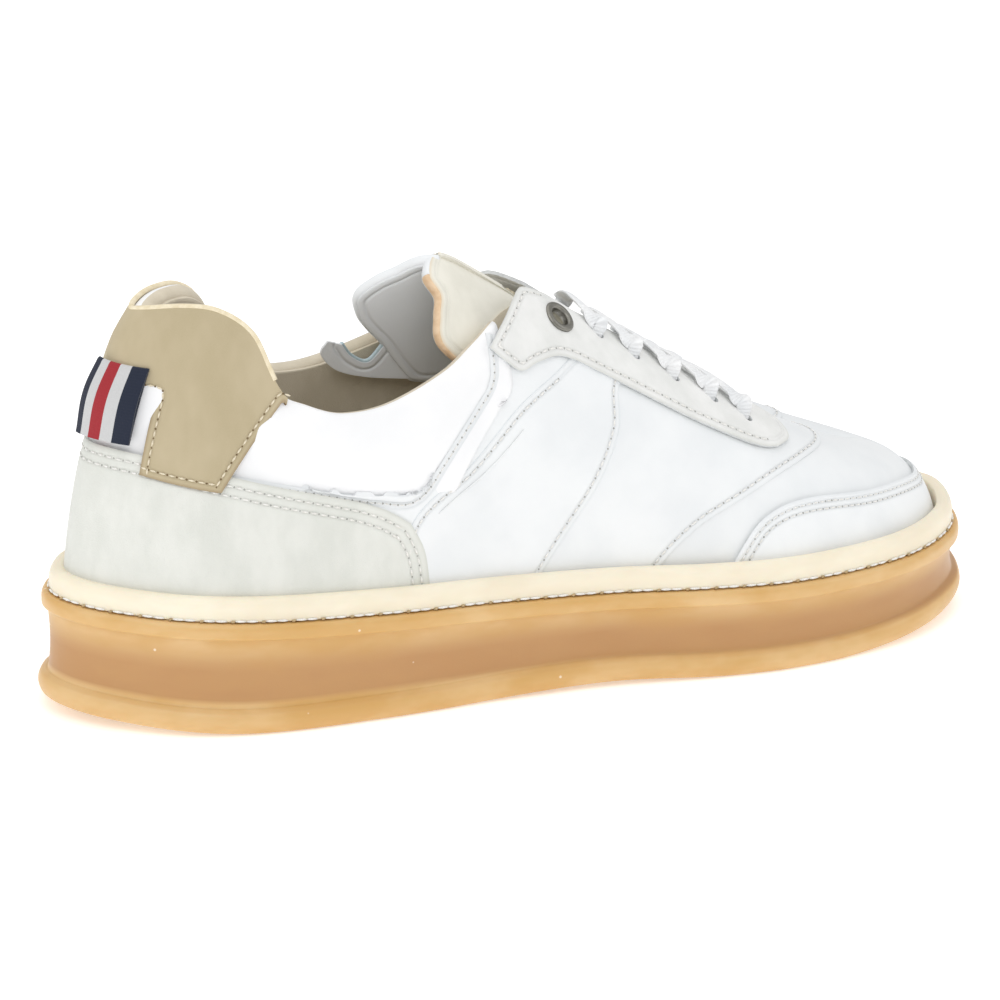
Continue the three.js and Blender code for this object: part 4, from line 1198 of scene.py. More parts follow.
@dataclass
class Upper:
    """The leather and suede pieces, laid over each other from the toe box out to the eyestay."""

    collar_roll: float = 2.4
    puff: float = 2.6
    lining_lift: float = -4.6
    stay_lift: float = 2.1
    hole: float = 1.5
    eyelet_hole: float = 3.1
    patches: dict[str, Patch] = field(default_factory=dict)

    def build(self) -> None:
        """Makes every upper piece and its sewing."""
        self.white, self.suede = WHITE_LEATHER.material(), COUNTER_SUEDE.material()
        self.blue, self.edge = BLUE_EDGE.material(), WHITE_EDGE.material()
        # The second finish is the painted shade of the needle holes.
        self.thread, self.pit_shade = THREAD.material(), NEEDLE_HOLE_SHADE.material()
        self.toe_box()
        self.vamp_panel()
        for side in Side:
            self.collar_panel(side)
            self.facing_band(side)
            self.quarter(side)
            self.eyestay(side)
        self.toe_overlay()
        self.counter()
        self.tab()

    def toe_box(self) -> None:
        """The plain leather over the toes."""
        line = path_through([(u - 0.018, v) for u, v in PATTERN.toe_line])
        s, t = np.linspace(0, 1, 150), np.linspace(0, 1, 72)
        along = 1 - np.abs(2 * s - 1)
        start = line(t)
        u = start[None, :, 0] * (1 - along[:, None]) + along[:, None]
        v = start[None, :, 1] * (1 - along[:, None]) + t[None] * along[:, None]
        uv = np.stack([np.where(s[:, None] > 0.5, u, -u), v], -1)
        patch = self.patches["toe_box"] = Patch(uv, 0.0)
        piece = patch.build("toe_box", 1.1, close=True)
        settle(piece, SHOE, "white_leather", self.white, self.edge, stands_for=["vamp"])

    def vamp_panel(self) -> None:
        """The panel that runs from side to side in front of the throat."""
        rear = [(0.46, 0.02), (0.47, 0.08), (0.502, 0.268), (0.515, 0.44), (0.52, 0.58), (0.55, 0.72),
                (0.62, 0.8), (0.69, 0.865), (0.705, 1.0)]
        front = list(PATTERN.toe_line)
        both = [path_through(p + [(u, 2 - v) for u, v in reversed(p[:-1])]) for p in (rear, front)]
        uv = lofted(both[0], both[1], 190, 50) * np.array([-1.0, 1.0])
        patch = self.patches["vamp_panel"] = Patch(uv, 0.45, edges=("high",))
        piece = patch.build("vamp_panel", 1.0, rim=1)
        settle(piece, SHOE, "white_leather", self.white, self.edge)
        line = both[1](np.linspace(0.012, 0.988, 500)) * np.array([-1.0, 1.0])
        Thread().sew("vamp_panel_thread", [Row(line, 1.9, 3.1, 2.1)], [patch], self.thread, self.pit_shade)

    def collar_panel(self, side: Side) -> None:
        """The padded collar with its rolled top edge."""
        low = path_through([(0.0, 0.24), (0.125, 0.24), (0.25, 0.21), (0.34, 0.175), (0.405, 0.16)])
        front = path_through([(0.405, 0.16), (0.428, 0.3), (0.447, 0.42), (0.456, 0.5), (0.444, 0.655)])
        high = edge_line(COLLAR_LINE, 0.0, 0.444)
        uv = sided(coons(low, high, upright(0.0, 0.24, 0.573), front, 130, 44), side)
        seam = LAST.face(*(path_through(PATTERN.pad_seam)(np.linspace(0, 1, 200)) * [side.value, 1]).T)
        patch = Patch(uv, 0.0, seams=[seam])
        top = seam_distance(patch.base, [patch.border("high")])
        rise = self.puff * np.sin(np.pi / 2 * np.clip(patch.edge / 17, 0, 1))
        seam_height = np.interp(np.abs(uv[..., 0]), *np.transpose(PATTERN.pad_foot))
        inside = smooth_step((uv[..., 1] - seam_height) / 0.03)
        patch.lift = rise * inside * (1 - 0.65 * (1 - np.clip(top / 13, 0, 1)) ** 2)
        grid = patch.points
        n, edge = patch.normal[:, -1], grid[:, -1]
        up = edge - grid[:, -3]
        up -= n * np.sum(up * n, -1, keepdims=True)
        up /= np.linalg.norm(up, axis=1, keepdims=True)
        depth = (patch.lift[:, -1] - self.lining_lift)[:, None] / 2
        roll = []
        for turn in np.linspace(0, np.pi, 12)[1:]:
            roll.append(edge - n * depth * (1 - np.cos(turn)) + up * self.collar_roll * 0.8 * np.sin(turn))
        roll.append(roll[-1] - up * 2.0)
        grid = np.concatenate([grid, np.stack(roll, 1)], 1)
        looks = np.concatenate([patch.normal, np.repeat(patch.normal[:, -1:], len(roll), 1)], 1)
        looks[:, -8:] = 0
        rolled_edge = np.concatenate([patch.edge, np.repeat(patch.edge[:, -1:], len(roll), 1)], 1)
        inner = np.zeros((grid.shape[0] - 1, grid.shape[1] - 1), bool)
        inner[:, -len(roll) + 4:] = True
        piece = grid_object(f"collar_pad_{side.word}", grid, 0.9, 0.0, 0, False,
                            {"edge": rolled_edge}, looks, second=inner)
        name = side.word
        settle(piece, SHOE, "smooth_leather", COLLAR_LEATHER.material(), LINING_SUEDE.material(),
               stands_for=[f"collar_panel_{name}", f"collar_foam_{name}"])
        self.patches[f"collar_{name}"] = patch

    def facing_band(self, side: Side) -> None:
        """The narrow band between the padded collar and the quarter."""
        rear = path_through([(0.16, 0.312), (0.217, 0.297), (0.299, 0.262), (0.36, 0.23), (0.39, 0.228),
                             (0.41, 0.3), (0.432, 0.42), (0.441, 0.5), (0.436, 0.62)])
        front = path_through([(0.36, 0.03), (0.397, 0.17), (0.442, 0.29), (0.476, 0.443), (0.512, 0.66)])
        low = path_through([(0.16, 0.312), (0.27, 0.15), (0.36, 0.03)])
        high = straight((0.436, 0.62), (0.512, 0.66))
        uv = sided(coons(low, high, even(rear), even(front), 48, 100), side)
        patch = self.patches[f"band_{side.word}"] = Patch(uv, 0.5, edges=("rear",))
        patch.lift = 0.62 - 0.35 * np.exp(-patch.edge / 0.8)
        piece = patch.build(f"facing_band_{side.word}", 0.9, rim=1)
        settle(piece, SHOE, "white_leather", self.white, self.edge, stands_for=[f"rear_quarter_{side.word}"])
        line = even(rear)(np.linspace(0.02, 0.95, 400)) * [side.value, 1]
        rows = [Row(line, 1.2 * side.value, 2.4, 1.6)]
        fine = Thread(width=0.45, height=0.4)
        fine.sew(f"pad_seam_thread_{side.word}", rows, [patch], self.thread, self.pit_shade)

    def quarter(self, side: Side) -> None:
        """The side of the shoe, with its pale blue cut edge."""
        rear = path_through(list(PATTERN.facing_edge[:-1]) + [(0.492, 0.58), (0.51, 0.72), (0.505, 0.86)])
        front = path_through(list(PATTERN.middle_seam[:-1]) + [(0.538, 0.6), (0.56, 0.74), (0.58, 0.86)])
        low, high = straight((0.378, 0.03), (0.468, 0.03)), straight((0.505, 0.86), (0.58, 0.86))
        uv = sided(coons(low, high, even(rear), even(front), 64, 130), side)
        patch = self.patches[f"quarter_{side.word}"] = Patch(uv, 1.0, edges=("rear", "front"))
        patch.lift = 1.0 - 0.3 * np.exp(-patch.edge / 0.7) + 0.25 * np.exp(-((patch.edge - 5) / 3) ** 2)
        piece = patch.build(f"quarter_piece_{side.word}", 0.9, rim=1)
        settle(piece, SHOE, "white_leather", self.white, self.blue, stands_for=[f"quarter_{side.word}"])
        rows = []
        for path, inset, cut in ((rear, -1.9, (0.03, 0.8)), (front, 1.9, (0.03, 0.8))):
            line = even(path)(np.linspace(*cut, 400)) * [side.value, 1]
            rows.append(Row(line, inset * -side.value, 3.1, 2.1))
        Thread().sew(f"quarter_thread_{side.word}", rows, [patch], self.thread, self.pit_shade)

    def eyestay(self, side: Side) -> None:
        """The suede stay with its lace holes."""
        low, high = even(path_through(PATTERN.stay_low)), even(path_through(PATTERN.stay_high))
        rear, front = even(path_through(PATTERN.stay_rear)), even(path_through(PATTERN.stay_front))
        uv = sided(coons(low, high, rear, front, 140, 60), side)
        patch = self.patches[f"stay_{side.word}"] = Patch(uv, self.stay_lift, edges=("low", "rear", "front"))
        patch.lift = self.stay_lift - 0.25 * np.exp(-patch.edge / 0.7)
        holes = [(self.spot(at, side, self.stay_lift), self.hole) for at in PATTERN.holes]
        holes.append((self.spot(PATTERN.eyelet, side, self.stay_lift), self.eyelet_hole))
        piece = patch.build(f"eyestay_piece_{side.word}", 1.1, rim=1, holes=holes)
        settle(piece, SHOE, "white_suede", STAY_SUEDE.material(), self.edge,
               stands_for=[f"eyestay_{side.word}"])
        s = np.linspace(0, 1, 300)
        rows = [Row(low(s) * [side.value, 1], 2.2 * -side.value, 2.9, 2.0, (2.5, 2.5)),
                Row(rear(s) * [side.value, 1], 2.0 * side.value, 2.9, 2.0, (2.5, 1.0))]
        Thread().sew(f"eyestay_thread_{side.word}", rows, [patch], self.thread, self.pit_shade, slot="lace_cotton")

    @staticmethod
    def spot(at: tuple[float, float], side: Side, lift: float) -> Array:
        """A point of the pattern on one side at a lift."""
        return LAST.lifted(np.array(at[0] * side.value), np.array(at[1]), np.array(lift))

    def toe_overlay(self) -> None:
        """The raised piece round the toe with its double row."""
        line = curve_through(PATTERN.mudguard)
        around, up, foot = 230, 34, 0.02
        u = 1 + 0.402 * np.linspace(-1, 1, around)
        own = np.abs(LAST.wrapped(u))
        t = np.linspace(0, 1, up)[None]
        uv = np.stack([np.broadcast_to(u[:, None], (around, up)), foot + (line(own)[:, None] - foot) * t], -1)
        patch = self.patches["toe_overlay"] = Patch(uv, 1.2, edges=("high",))
        patch.lift = 1.25 + 0.25 * np.exp(-((patch.edge - 0.9) / 0.8) ** 2) - 0.35 * np.exp(-patch.edge / 0.4)
        piece = patch.build("toe_overlay_piece", 1.1, rim=1)
        settle(piece, SHOE, "white_leather", TOE_LEATHER.material(), self.edge, stands_for=["toe_overlay"])
        top = np.stack([u, line(own)], -1)
        at = np.linspace(0, around - 1, 900)
        dense = np.stack([np.interp(at, np.arange(around), top[:, k]) for k in range(2)], -1)
        rows = [Row(dense, 1.8, 2.6, 1.8), Row(dense, 3.9, 2.6, 1.8)]
        Thread(width=0.5).sew("toe_overlay_thread", rows, [patch], self.thread, self.pit_shade)

    def counter(self) -> None:
        """The suede heel counter with its double row."""
        top = [(0.0, 0.322), (0.125, 0.318), (0.217, 0.295), (0.324, 0.242), (0.362, 0.215), (0.386, 0.183)]
        high = path_through([(-u, v) for u, v in reversed(top[1:])] + top)
        edge = [(0.404, 0.03), (0.402, 0.07), (0.397, 0.135), (0.386, 0.183)]
        low = straight((-0.404, 0.03), (0.404, 0.03))
        uv = coons(low, even(high), path_through([(-u, v) for u, v in edge]), path_through(edge), 250, 56)
        patch = self.patches["counter"] = Patch(uv, 1.5, edges=("high", "rear", "front"))
        patch.lift = 1.55 - 0.3 * np.exp(-patch.edge / 0.6) - 0.25 * np.exp(-((patch.edge - 4) / 2.2) ** 2)
        piece = patch.build("heel_counter_piece", 1.1, rim=0)
        settle(piece, SHOE, "greige_suede", self.suede, stands_for=["heel_counter"])
        rim = np.concatenate([path_through([(-u, v) for u, v in edge])(np.linspace(0, 1, 60)),
                              even(high)(np.linspace(0, 1, 600))[1:],
                              path_through(edge)(np.linspace(1, 0, 60))[1:]])
        rows = [Row(rim, 2.6, 2.9, 1.9, (3, 3)), Row(rim, 5.4, 2.9, 1.9, (3, 3))]
        Thread().sew("counter_thread", rows, [patch], self.thread, self.pit_shade)

    def tab(self) -> None:
        """The nubuck tab over the heel, its stitching and its piped top edge."""
        leg, corner, end, notch_top = 0.134, 0.226, 0.276, 0.425

        def low_at(at: Array) -> Array:
            """The v of the cut edge under each leg."""
            return np.interp(at, (leg, corner, end), (0.285, 0.262, 0.43))

        u = np.concatenate([np.linspace(-end, -leg, 58)[:-1], np.linspace(-leg, leg, 100),
                            np.linspace(leg, end, 58)[1:]])
        own = np.maximum(np.abs(u), leg)
        bottom, top = low_at(own), COLLAR_LINE(np.abs(u)) + 0.004
        bottom = np.minimum(bottom, top - 0.012)
        split = 24
        t = np.concatenate([np.linspace(0, 0.467, split)[:-1], np.linspace(0.467, 1, 28)])[None]
        uv = np.stack([np.broadcast_to(u[:, None], (len(u), t.shape[1])),
                       bottom[:, None] + (top - bottom)[:, None] * t], -1)
        middle = (np.abs(u[:-1] + u[1:]) / 2 < leg)[:, None]
        drop = middle & (np.arange(t.shape[1] - 1) < split - 1)[None]
        outer_u = np.linspace(leg, end, 120)
        outer_v = np.minimum(low_at(outer_u), COLLAR_LINE(outer_u) - 0.006)
        leg_side = [(leg, v) for v in np.linspace(notch_top, low_at(np.array(leg)), 24)]
        right = np.array(leg_side + list(zip(outer_u, outer_v)))
        bridge = np.stack([np.linspace(-leg, leg, 60), np.full(60, notch_top)], -1)
        low = np.concatenate([right[::-1] * [-1, 1], bridge[1:-1], right])
        patch = self.patches["tab"] = Patch(uv, 2.2, seams=[LAST.face(low[:, 0], low[:, 1])])
        reach = seam_distance(patch.base, [patch.border("high")])
        patch.lift = (2.45 - 0.3 * np.exp(-patch.edge / 0.6)
                      + 0.7 * np.sin(np.pi / 2 * np.clip(patch.edge / 14, 0, 1)) * np.clip(reach / 9, 0, 1))
        piece = patch.build("heel_tab_piece", 1.1, rim=1, drop=drop)
        settle(piece, SHOE, "tan_nubuck", TAB_NUBUCK.material(), TAN_EDGE.material(), stands_for=["heel_tab"])
        Thread(width=0.6).sew("heel_tab_thread", [Row(low, -2.2, 2.7, 1.9, (1.5, 1.5))], [patch],
                              TAN_THREAD.material(), TAN_HOLE_SHADE.material())
        self.piping(patch)

    def piping(self, patch: Patch) -> None:
        """A thin cream cord along the tab's top edge."""
        line = patch.points[:, -1] + patch.normal[:, -1] * -0.6
        keep = np.abs(patch.uv[:, -1, 0]) < 0.262
        line = spaced(line[keep], 1.2)
        settle(tube("tab_piping", line, 0.85, 0.85, 10), SHOE, "tan_nubuck", PIPING.material())


def tube(name: str, line: Array, wide: float | Array, thick: float | Array, sides: int,
         twist: Optional[Array] = None, flat: Optional[Array] = None,
         attributes: bool = False) -> bpy.types.Object:
    """A cord or flat lace swept along a line.

    Args:
        name: the piece's name.
        line: points of its middle.
        wide, thick: half sizes of the oval section.
        sides: points round the section.
        twist: turn of the section at each point, radians.
        flat: the way the section's width lies at each point before the turn; None picks one.
        attributes: whether to add the weave's running values.

    Returns:
        The new object.
    """
    along = np.gradient(line, axis=0)
    along /= np.linalg.norm(along, axis=1, keepdims=True)
    if flat is None:
        side = np.cross(along, [0, 0, 1.0])
    else:
        side = flat - along * np.sum(flat * along, -1, keepdims=True)
    side /= np.linalg.norm(side, axis=1, keepdims=True)
    lift = np.cross(side, along)
    turn = np.zeros(len(line)) if twist is None else twist
    first = side * np.cos(turn)[:, None] + lift * np.sin(turn)[:, None]
    second = -side * np.sin(turn)[:, None] + lift * np.cos(turn)[:, None]
    angle = np.linspace(0, 2 * np.pi, sides + 1)
    widths, thicks = (np.broadcast_to(size, (len(line),))[:, None] for size in (wide, thick))
    grid = (line[:, None] + first[:, None] * (np.cos(angle) * widths)[..., None]
            + second[:, None] * (np.sin(angle) * thicks)[..., None])
    grid = np.concatenate([line[:1, None].repeat(sides + 1, 1), grid, line[-1:, None].repeat(sides + 1, 1)])
    values = None
    if attributes:
        run = np.concatenate([[0], lengths(line), [lengths(line)[-1]]])
        values = {"along": np.repeat(run[:, None], sides + 1, 1),
                  "across": np.repeat((np.cos(angle) * widths.max())[None], len(run), 0)}
    return grid_object(name, grid, close=True, attributes=values)


# ---------------------------------------------------------------- lining and insides


@dataclass
class Insides:
    """What shows through the collar: lining, seam tape, footbed; and the parts nobody sees."""

    lift: float = -4.5

    def build(self) -> None:
        """Makes the lining and dresses the hidden parts."""
        suede = LINING_SUEDE.material()
        for side in Side:
            top = [(u, v + 0.004) for u, v in PATTERN.collar] + [(0.46, 0.79), (0.48, 0.88)]
            high = path_through([*top, (0.56, 0.87), (0.69, 0.85)])
            low = straight((0.0, 0.0), (0.6, 0.0))
            front = path_through([(0.6, 0.0), (0.61, 0.2), (0.65, 0.42), (0.685, 0.58), (0.69, 0.85)])
            uv = sided(coons(low, even(high), upright(0.0, 0.0, 0.577), front, 150, 70), side)
            patch = Patch(uv, self.lift)
            piece = patch.build(f"lining_{side.word}", 0.9, 0.0)
            settle(piece, SHOE, "lining_suede", suede, stands_for=[f"quarter_lining_{side.word}"])
            self.tape(side)
        for node, finish in HIDDEN.items():
            self.dress(node, finish.material())
        self.dress("sockliner", LINING_SUEDE.material())
        board = STIFF_BOARD.material()
        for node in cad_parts:
            if node.startswith(("eyestay_backing", "toe_puff", "counter_stiffener")):
                self.dress(node, board)
            if node.startswith("vamp_lining"):
                self.dress(node, suede)

    @staticmethod
    def dress(node: str, material: bpy.types.Material) -> None:
        """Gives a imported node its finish."""
        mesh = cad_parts[node].data
        mesh.materials.clear()
        mesh.materials.append(material)

    def tape(self, side: Side) -> None:
        """The pale strip sewn down the lining."""
        uv = sided(coons(straight((0.289, 0.1), (0.314, 0.1)), straight((0.287, 0.385), (0.313, 0.37)),
                         upright(0.288, 0.1, 0.385), upright(0.314, 0.1, 0.37), 8, 40), side)
        piece = Patch(uv, self.lift - 0.95).build(f"seam_tape_{side.word}", 0.5, 0.15)
        settle(piece, SHOE, "grey_leather", TONGUE_LINING.material(),
               stands_for=[f"lining_seam_tape_{side.word}"])


# ---------------------------------------------------------------- tongue


@dataclass
class Tongue:
    """The padded tongue: cream outside, pale grey inside, bound rear edge, keeper strap on the far side.

    Attributes:
        rear_edge: how far forward the rear edge stands at each place across the ridge, near side negative.
        root, root_half: where the tongue ends under the laces, and half its width there.
        near, far: how far the two wings reach across.
        outer, inner: lift of the two faces.
        puff: swell of the padding.
        window, skirt: the borders of the keeper strap, from the wing round to the rear.
    """

    rear_edge: tuple = ((-0.49, 0.45), (-0.47, 0.43), (-0.425, 0.412), (-0.34, 0.408), (-0.26, 0.406),
                        (-0.195, 0.393), (0.0, 0.387), (0.225, 0.386), (0.315, 0.376), (0.385, 0.37),
                        (0.445, 0.38), (0.48, 0.392), (0.51, 0.405), (0.56, 0.42), (0.62, 0.44))
    root: float = 0.735
    root_half: float = 0.27
    near: float = 0.47
    far: float = 0.6
    outer: float = -5.7
    inner: float = -9.6
    puff: float = 0.9
    window: tuple = ((0.408, 0.49), (0.4, 0.43), (0.386, 0.438), (0.375, 0.468))
    skirt: tuple = ((0.432, 0.402), (0.404, 0.39), (0.378, 0.4), (0.36, 0.44), (0.362, 0.475))

    def grid(self, rows: int, columns: int) -> Array:
        """A grid of (u, v) across the ridge."""
        s, w = np.linspace(0, 1, rows)[:, None] ** 1.2, np.linspace(-1, 1, columns)[None]
        narrow = 1 - smooth_step(s / 0.6)
        across = w * (self.root_half + (np.where(w < 0, self.near, self.far) - self.root_half) * narrow)
        u = curve_through(self.rear_edge)(across) * (1 - s) + self.root * s
        return np.stack([np.where(across < 0, -u, u), 1 - np.abs(across)], -1)

    def build(self) -> None:
        """Makes the two faces, the binding and the strap."""
        rows, columns = 90, 130
        uv = self.grid(rows, columns)
        s, w = np.linspace(0, 1, rows)[:, None], np.abs(np.linspace(-1, 1, columns))[None]
        swell = self.puff * np.clip((1 - w) / 0.12, 0, 1) ** 0.5 * np.clip(s / 0.08, 0, 1) ** 0.5
        cover = Patch(uv, self.outer - 0.5 + swell, edges=("low", "high", "rear"))
        piece = cover.build("tongue_face", 0.8, rim=1)
        settle(piece, TONGUE, "cream_leather", TONGUE_SUEDE.material(), BLUE_EDGE.material(),
               stands_for=["tongue_cover", "tongue_foam"])
        inside = Patch(uv, self.inner + 0.3 - swell * 0.6, edges=("low", "high", "rear"))
        back = inside.build("tongue_back", 0.0)
        wall = back.modifiers.new("wall", "SOLIDIFY")
        wall.thickness, wall.offset = 0.8 * MM, 0
        settle(back, TONGUE, "grey_leather", TONGUE_LINING.material(), stands_for=["tongue_lining"])
        self.binding(cover, inside)
        self.strap()

    def binding(self, cover: Patch, inside: Patch) -> None:
        """The rolled edge that joins the faces: peach on the near wing, grey over the ridge."""
        rim = [np.concatenate([p[::-1, 0], p[0, 1:-1], p[:, -1]]) for p in (cover.points, inside.points)]
        middle, spread = (rim[0] + rim[1]) / 2, rim[0] - rim[1]
        thick = np.linalg.norm(spread, axis=1).mean() / 2
        turn = len(cover.points) + cover.points.shape[1] * 3 // 10
        parts = (("near", slice(4, turn), PEACH_EDGE), ("far", slice(turn - 1, -4), TONGUE_LINING))
        for name, part, finish in parts:
            piece = tube(f"tongue_binding_{name}", middle[part], thick + 0.1, 0.8, 12, flat=spread[part])
            settle(piece, TONGUE, "cream_leather", finish.material())

    def strap(self) -> None:
        """The keeper strap against the far lining, with a bound opening."""
        uv = sided(lofted(path_through(self.window), path_through(self.skirt), 60, 14), Side.MEDIAL)
        patch = Patch(uv, self.inner + 1.2, edges=("low",))
        settle(patch.build("tongue_strap", 0.9, 0.3), TONGUE, "grey_leather", TONGUE_LINING.material())
        line = patch.points[:, 0]
        settle(tube("tongue_strap_binding", line, 0.8, 0.7, 10), TONGUE, "grey_leather", BLUE_EDGE.material())


# ---------------------------------------------------------------- laces, eyelets, loop


@dataclass
class Lacing:
    """Flat cotton laces that twist down into their holes, and the two metal eyelets."""

    half_width: float = 3.1
    half_thick: float = 0.8
    lift: float = 3.4
    sunk: float = 3.0
    flange: float = 5.2
    bore: float = 2.9
    eyelet_lift: float = 2.2

    def build(self) -> None:
        """Makes the laces and the eyelets."""
        cotton, painted_shade = LACE.material(), EYELET_WELL_SHADE.material()
        bars = [n for n in sorted(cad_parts) if n.startswith("lace_bar")]
        runs = [n for n in sorted(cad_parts) if n.startswith("lace_run")]
        for k, at in enumerate(PATTERN.holes):
            piece = self.bar(k, at)
            settle(piece, SHOE, "lace_cotton", cotton, stands_for=[bars[k]])
        for run in runs:
            Insides.dress(run, cotton)
        metal = DARK_METAL.material()
        for side in Side:
            piece = self.eyelet(side)
            settle(piece, SHOE, "dark_metal", metal, painted_shade, stands_for=[f"eyelet_{side.word}"])

    def bar(self, k: int, at: tuple[float, float]) -> bpy.types.Object:
        """One lace across the throat, with a half turn on its way to each hole."""
        u, v = at
        w = np.linspace(-1, 1, 90)
        reach = 1 - v
        across = w * (reach + 0.006)
        vv = 1 - np.abs(across)
        slip = -0.016 * (1 - np.abs(w))
        uu = u + slip
        near = np.clip((1 - np.abs(w)) / 0.2, 0, 1)
        lift = -self.sunk + (self.lift + self.sunk) * np.sin(np.pi / 2 * near) ** 0.6
        lift = lift + 1.3 * np.exp(-((near - 0.75) / 0.3) ** 2)
        line = LAST.lifted(np.where(across < 0, -uu, uu), vv, lift)
        looks = LAST.normal(np.where(across < 0, -uu, uu), vv)
        along = np.gradient(line, axis=0)
        flat = np.cross(looks, along)
        flat /= np.linalg.norm(flat, axis=1, keepdims=True)
        run = lengths(line)
        from_end = np.minimum(run, run[-1] - run)
        gather = 1 - smooth_step((from_end - 3.0) / 9.0)
        turn = 0.9 * np.sin(np.pi * np.clip((from_end - 1.0) / 12.0, 0, 1)) * np.where(w < 0, 1, -1)
        return tube(f"lace_{k + 1}", line, self.half_width - 1.5 * gather, self.half_thick + 0.7 * gather, 16,
                    twist=turn, flat=flat, attributes=True)

    def eyelet(self, side: Side) -> bpy.types.Object:
        """A rolled metal ring with a well whose floor is painted shade, turned about its axis."""
        profile = [(0.0, -2.2), (1.6, -2.2), (self.bore, -1.9), (self.bore, -0.2), (self.bore + 0.25, 0.35),
                   (self.bore + 0.8, 0.62), (self.flange - 0.6, 0.5), (self.flange - 0.1, 0.15),
                   (self.flange, -0.3)]
        bm = bmesh.new()
        verts = [bm.verts.new(Vector((x, 0, z)) * MM) for x, z in profile]
        edges = [bm.edges.new(pair) for pair in zip(verts[:-1], verts[1:])]
        bmesh.ops.spin(bm, geom=verts + edges, cent=(0, 0, 0), axis=(0, 0, 1), angle=2 * math.pi, steps=40,
                       use_merge=True)
        bmesh.ops.remove_doubles(bm, verts=bm.verts, dist=1e-6)
        bmesh.ops.recalc_face_normals(bm, faces=bm.faces)
        u, v = PATTERN.eyelet[0] * side.value, PATTERN.eyelet[1]
        n = Vector(LAST.normal(np.array(u), np.array(v)))
        place = Vector(LAST.lifted(np.array(u), np.array(v), np.array(self.eyelet_lift))) * MM
        frame_at = n.to_track_quat("Z", "Y").to_matrix().to_4x4()
        frame_at.translation = place
        bmesh.ops.transform(bm, matrix=frame_at, verts=bm.verts)
        top = [f for f in bm.faces if f.normal.dot(n) > 0.2 and (f.calc_center_median() - place).dot(n) > 0]
        if not top:
            bmesh.ops.reverse_faces(bm, faces=bm.faces)
        # The well's floor and foot take the second finish: painted shade for the dark inside of the eyelet.
        for face in bm.faces:
            if (face.calc_center_median() - place).dot(n) < -1.95 * MM:
                face.material_index = 1
        return finished(f"eyelet_ring_{side.word}", bm, 0.25)


@dataclass
class PullLoop:
    """The striped ribbon at the heel, folded into a hairpin that stands off the leather."""

    rear: float = -0.114
    front: float = 0.0
    low: float = 0.332
    high: float = 0.46
    flare: float = 1.4
    stand: float = 3.4
    fold: float = 1.3
    columns: int = 36

    def build(self) -> None:
        """Makes the ribbon."""
        climb = np.linspace(0, 1, 40)
        out = self.stand + 0.5 + 1.2 * np.sin(np.pi * climb * 0.9) ** 1.5
        path = [(self.low + (self.high - self.low) * c, o) for c, o in zip(climb, out)]
        top_lift = out[-1]
        for turn in np.linspace(0, np.pi, 9)[1:]:
            path.append((self.high + 0.01 * np.sin(turn), top_lift - self.fold / 2 * (1 - np.cos(turn))))
        path += [(self.high - (self.high - self.low) * c, top_lift - self.fold) for c in climb[1:]]
        path = np.array(path)
        u = np.linspace(self.rear, self.front, self.columns)
        share = (u - self.rear) / (self.front - self.rear)
        grid = LAST.lifted(u[None], path[:, :1], path[:, 1:] + self.flare * share ** 2)
        shape = grid.shape[:2]
        looks = LAST.normal(np.broadcast_to(u[None], shape), np.broadcast_to(path[:, :1], shape)).copy()
        looks[self.columns:] = 0
        run = lengths(grid[:, self.columns // 2])
        values = {"along": np.repeat(run[:, None], self.columns, 1),
                  "across": np.repeat(share[None], len(run), 0),
                  "share": np.repeat(share[None], len(run), 0)}
        piece = grid_object("ribbon_loop", grid, 0.8, 0.12, 0, False, values, looks)
        settle(piece, LOOP, "ribbon", RIBBON.material(), stands_for=["pull_loop"])


# ---------------------------------------------------------------- studio


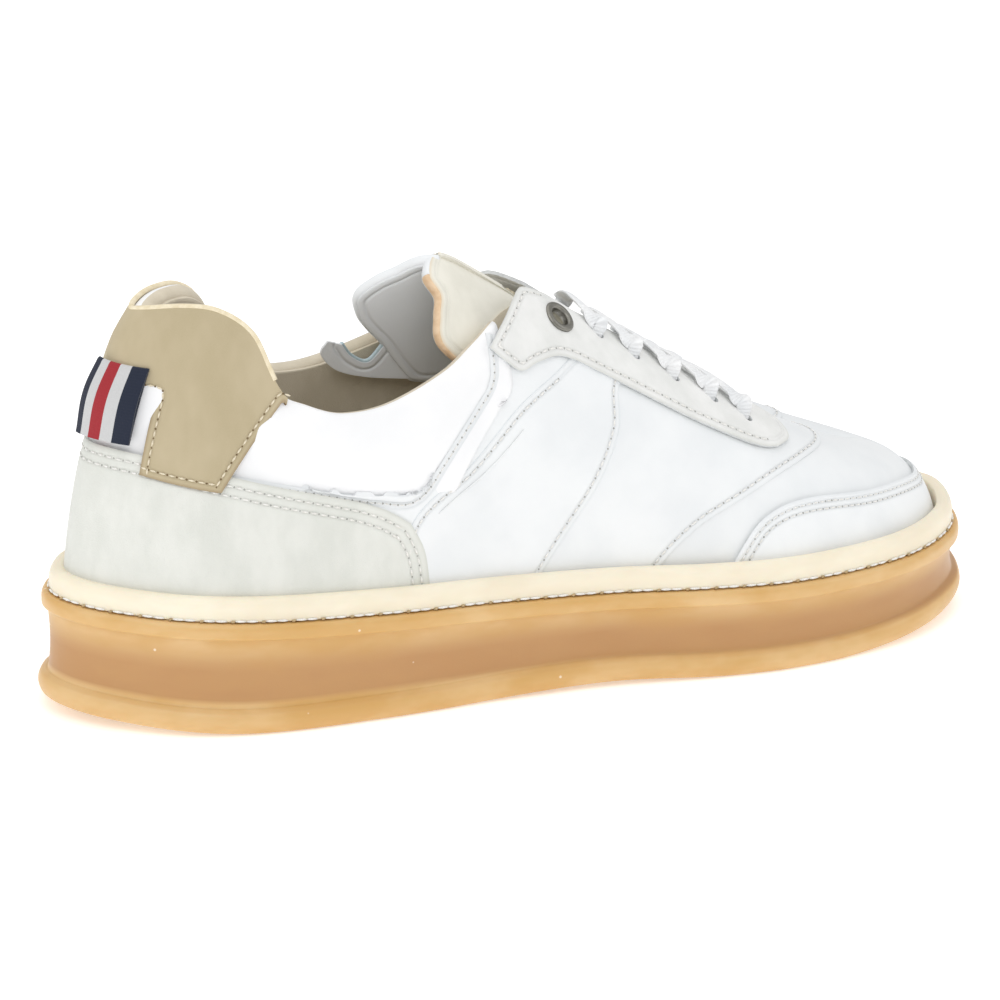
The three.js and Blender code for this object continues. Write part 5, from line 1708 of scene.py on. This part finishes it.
@dataclass
class Studio:
    """A plain pale floor, soft lights and the camera."""

    target: tuple[float, float, float] = (0.0, 0.001886, 0.05)
    azimuth: float = -26.0
    elevation: float = 17.58
    distance: float = 1.4
    lens: float = 170.1
    roll: float = 1.21
    shift: tuple[float, float] = (-0.0186, -0.0153)
    room_light: float = 0.62
    floor_glow: float = 0.35

    def build(self) -> None:
        """Makes the floor, the lights and the camera."""
        scene = bpy.context.scene
        scene.view_settings.view_transform = "Standard"
        world = bpy.data.worlds.new("soft_room")
        world.use_nodes = True
        sky = world.node_tree.nodes["Background"]
        sky.inputs["Color"].default_value = (1, 1, 1, 1)
        sky.inputs["Strength"].default_value = self.room_light
        scene.world = world
        bm = bmesh.new()
        bmesh.ops.create_grid(bm, x_segments=4, y_segments=4, size=6)
        floor = finished("studio_floor", bm)
        paper = STUDIO_PAPER.material()
        shader = paper.node_tree.nodes["Principled BSDF"]
        shader.inputs["Emission Color"].default_value = (1, 1, 1, 1)
        shader.inputs["Emission Strength"].default_value = self.floor_glow
        floor.data.materials.append(paper)
        self.light("key", (-0.5, -0.9, 1.25), 1.0, 5.0)
        self.light("top", (0.1, 0.3, 1.6), 1.6, 6.0)
        self.light("toe_side", (1.2, -0.5, 0.8), 0.9, 2.5)
        self.light("heel_side", (-1.1, 0.0, 0.75), 0.8, 2.2)
        self.camera()

    def light(self, name: str, place: tuple[float, float, float], size: float, power: float) -> None:
        """A square soft light aimed at the shoe."""
        data = bpy.data.lights.new(name, "AREA")
        data.shape, data.size, data.energy = "SQUARE", size, power
        lamp = bpy.data.objects.new(name, data)
        lamp.location = place
        lamp.rotation_mode = "QUATERNION"
        lamp.rotation_quaternion = (Vector(self.target) - Vector(place)).to_track_quat("-Z", "Y")
        bpy.context.scene.collection.objects.link(lamp)

    def camera(self) -> None:
        """The camera, behind the heel's outer side and above."""
        a, e, r = (math.radians(x) for x in (self.azimuth, self.elevation, self.roll))
        back = Vector((math.sin(a) * math.cos(e), -math.cos(a) * math.cos(e), math.sin(e)))
        right = Vector((math.cos(a), math.sin(a), 0))
        up = back.cross(right)
        across = right * math.cos(r) + up * math.sin(r)
        climb = up * math.cos(r) - right * math.sin(r)
        data = bpy.data.cameras.new("camera")
        data.lens, data.sensor_width = self.lens, 36.0
        data.shift_x, data.shift_y = self.shift
        camera = bpy.data.objects.new("camera", data)
        frame_at = Matrix((across, climb, back)).transposed().to_4x4()
        frame_at.translation = Vector(self.target) + back * self.distance
        camera.matrix_world = frame_at
        bpy.context.scene.collection.objects.link(camera)
        bpy.context.scene.camera = camera


def main() -> None:
    """Builds the shoe piece by piece, then the studio."""
    logging.basicConfig(level=logging.INFO, format="%(name)s: %(message)s")
    Studio().build()
    GumSole().build()
    Upper().build()
    Insides().build()
    Tongue().build()
    Lacing().build()
    PullLoop().build()


if __name__ == "__main__":
    main()
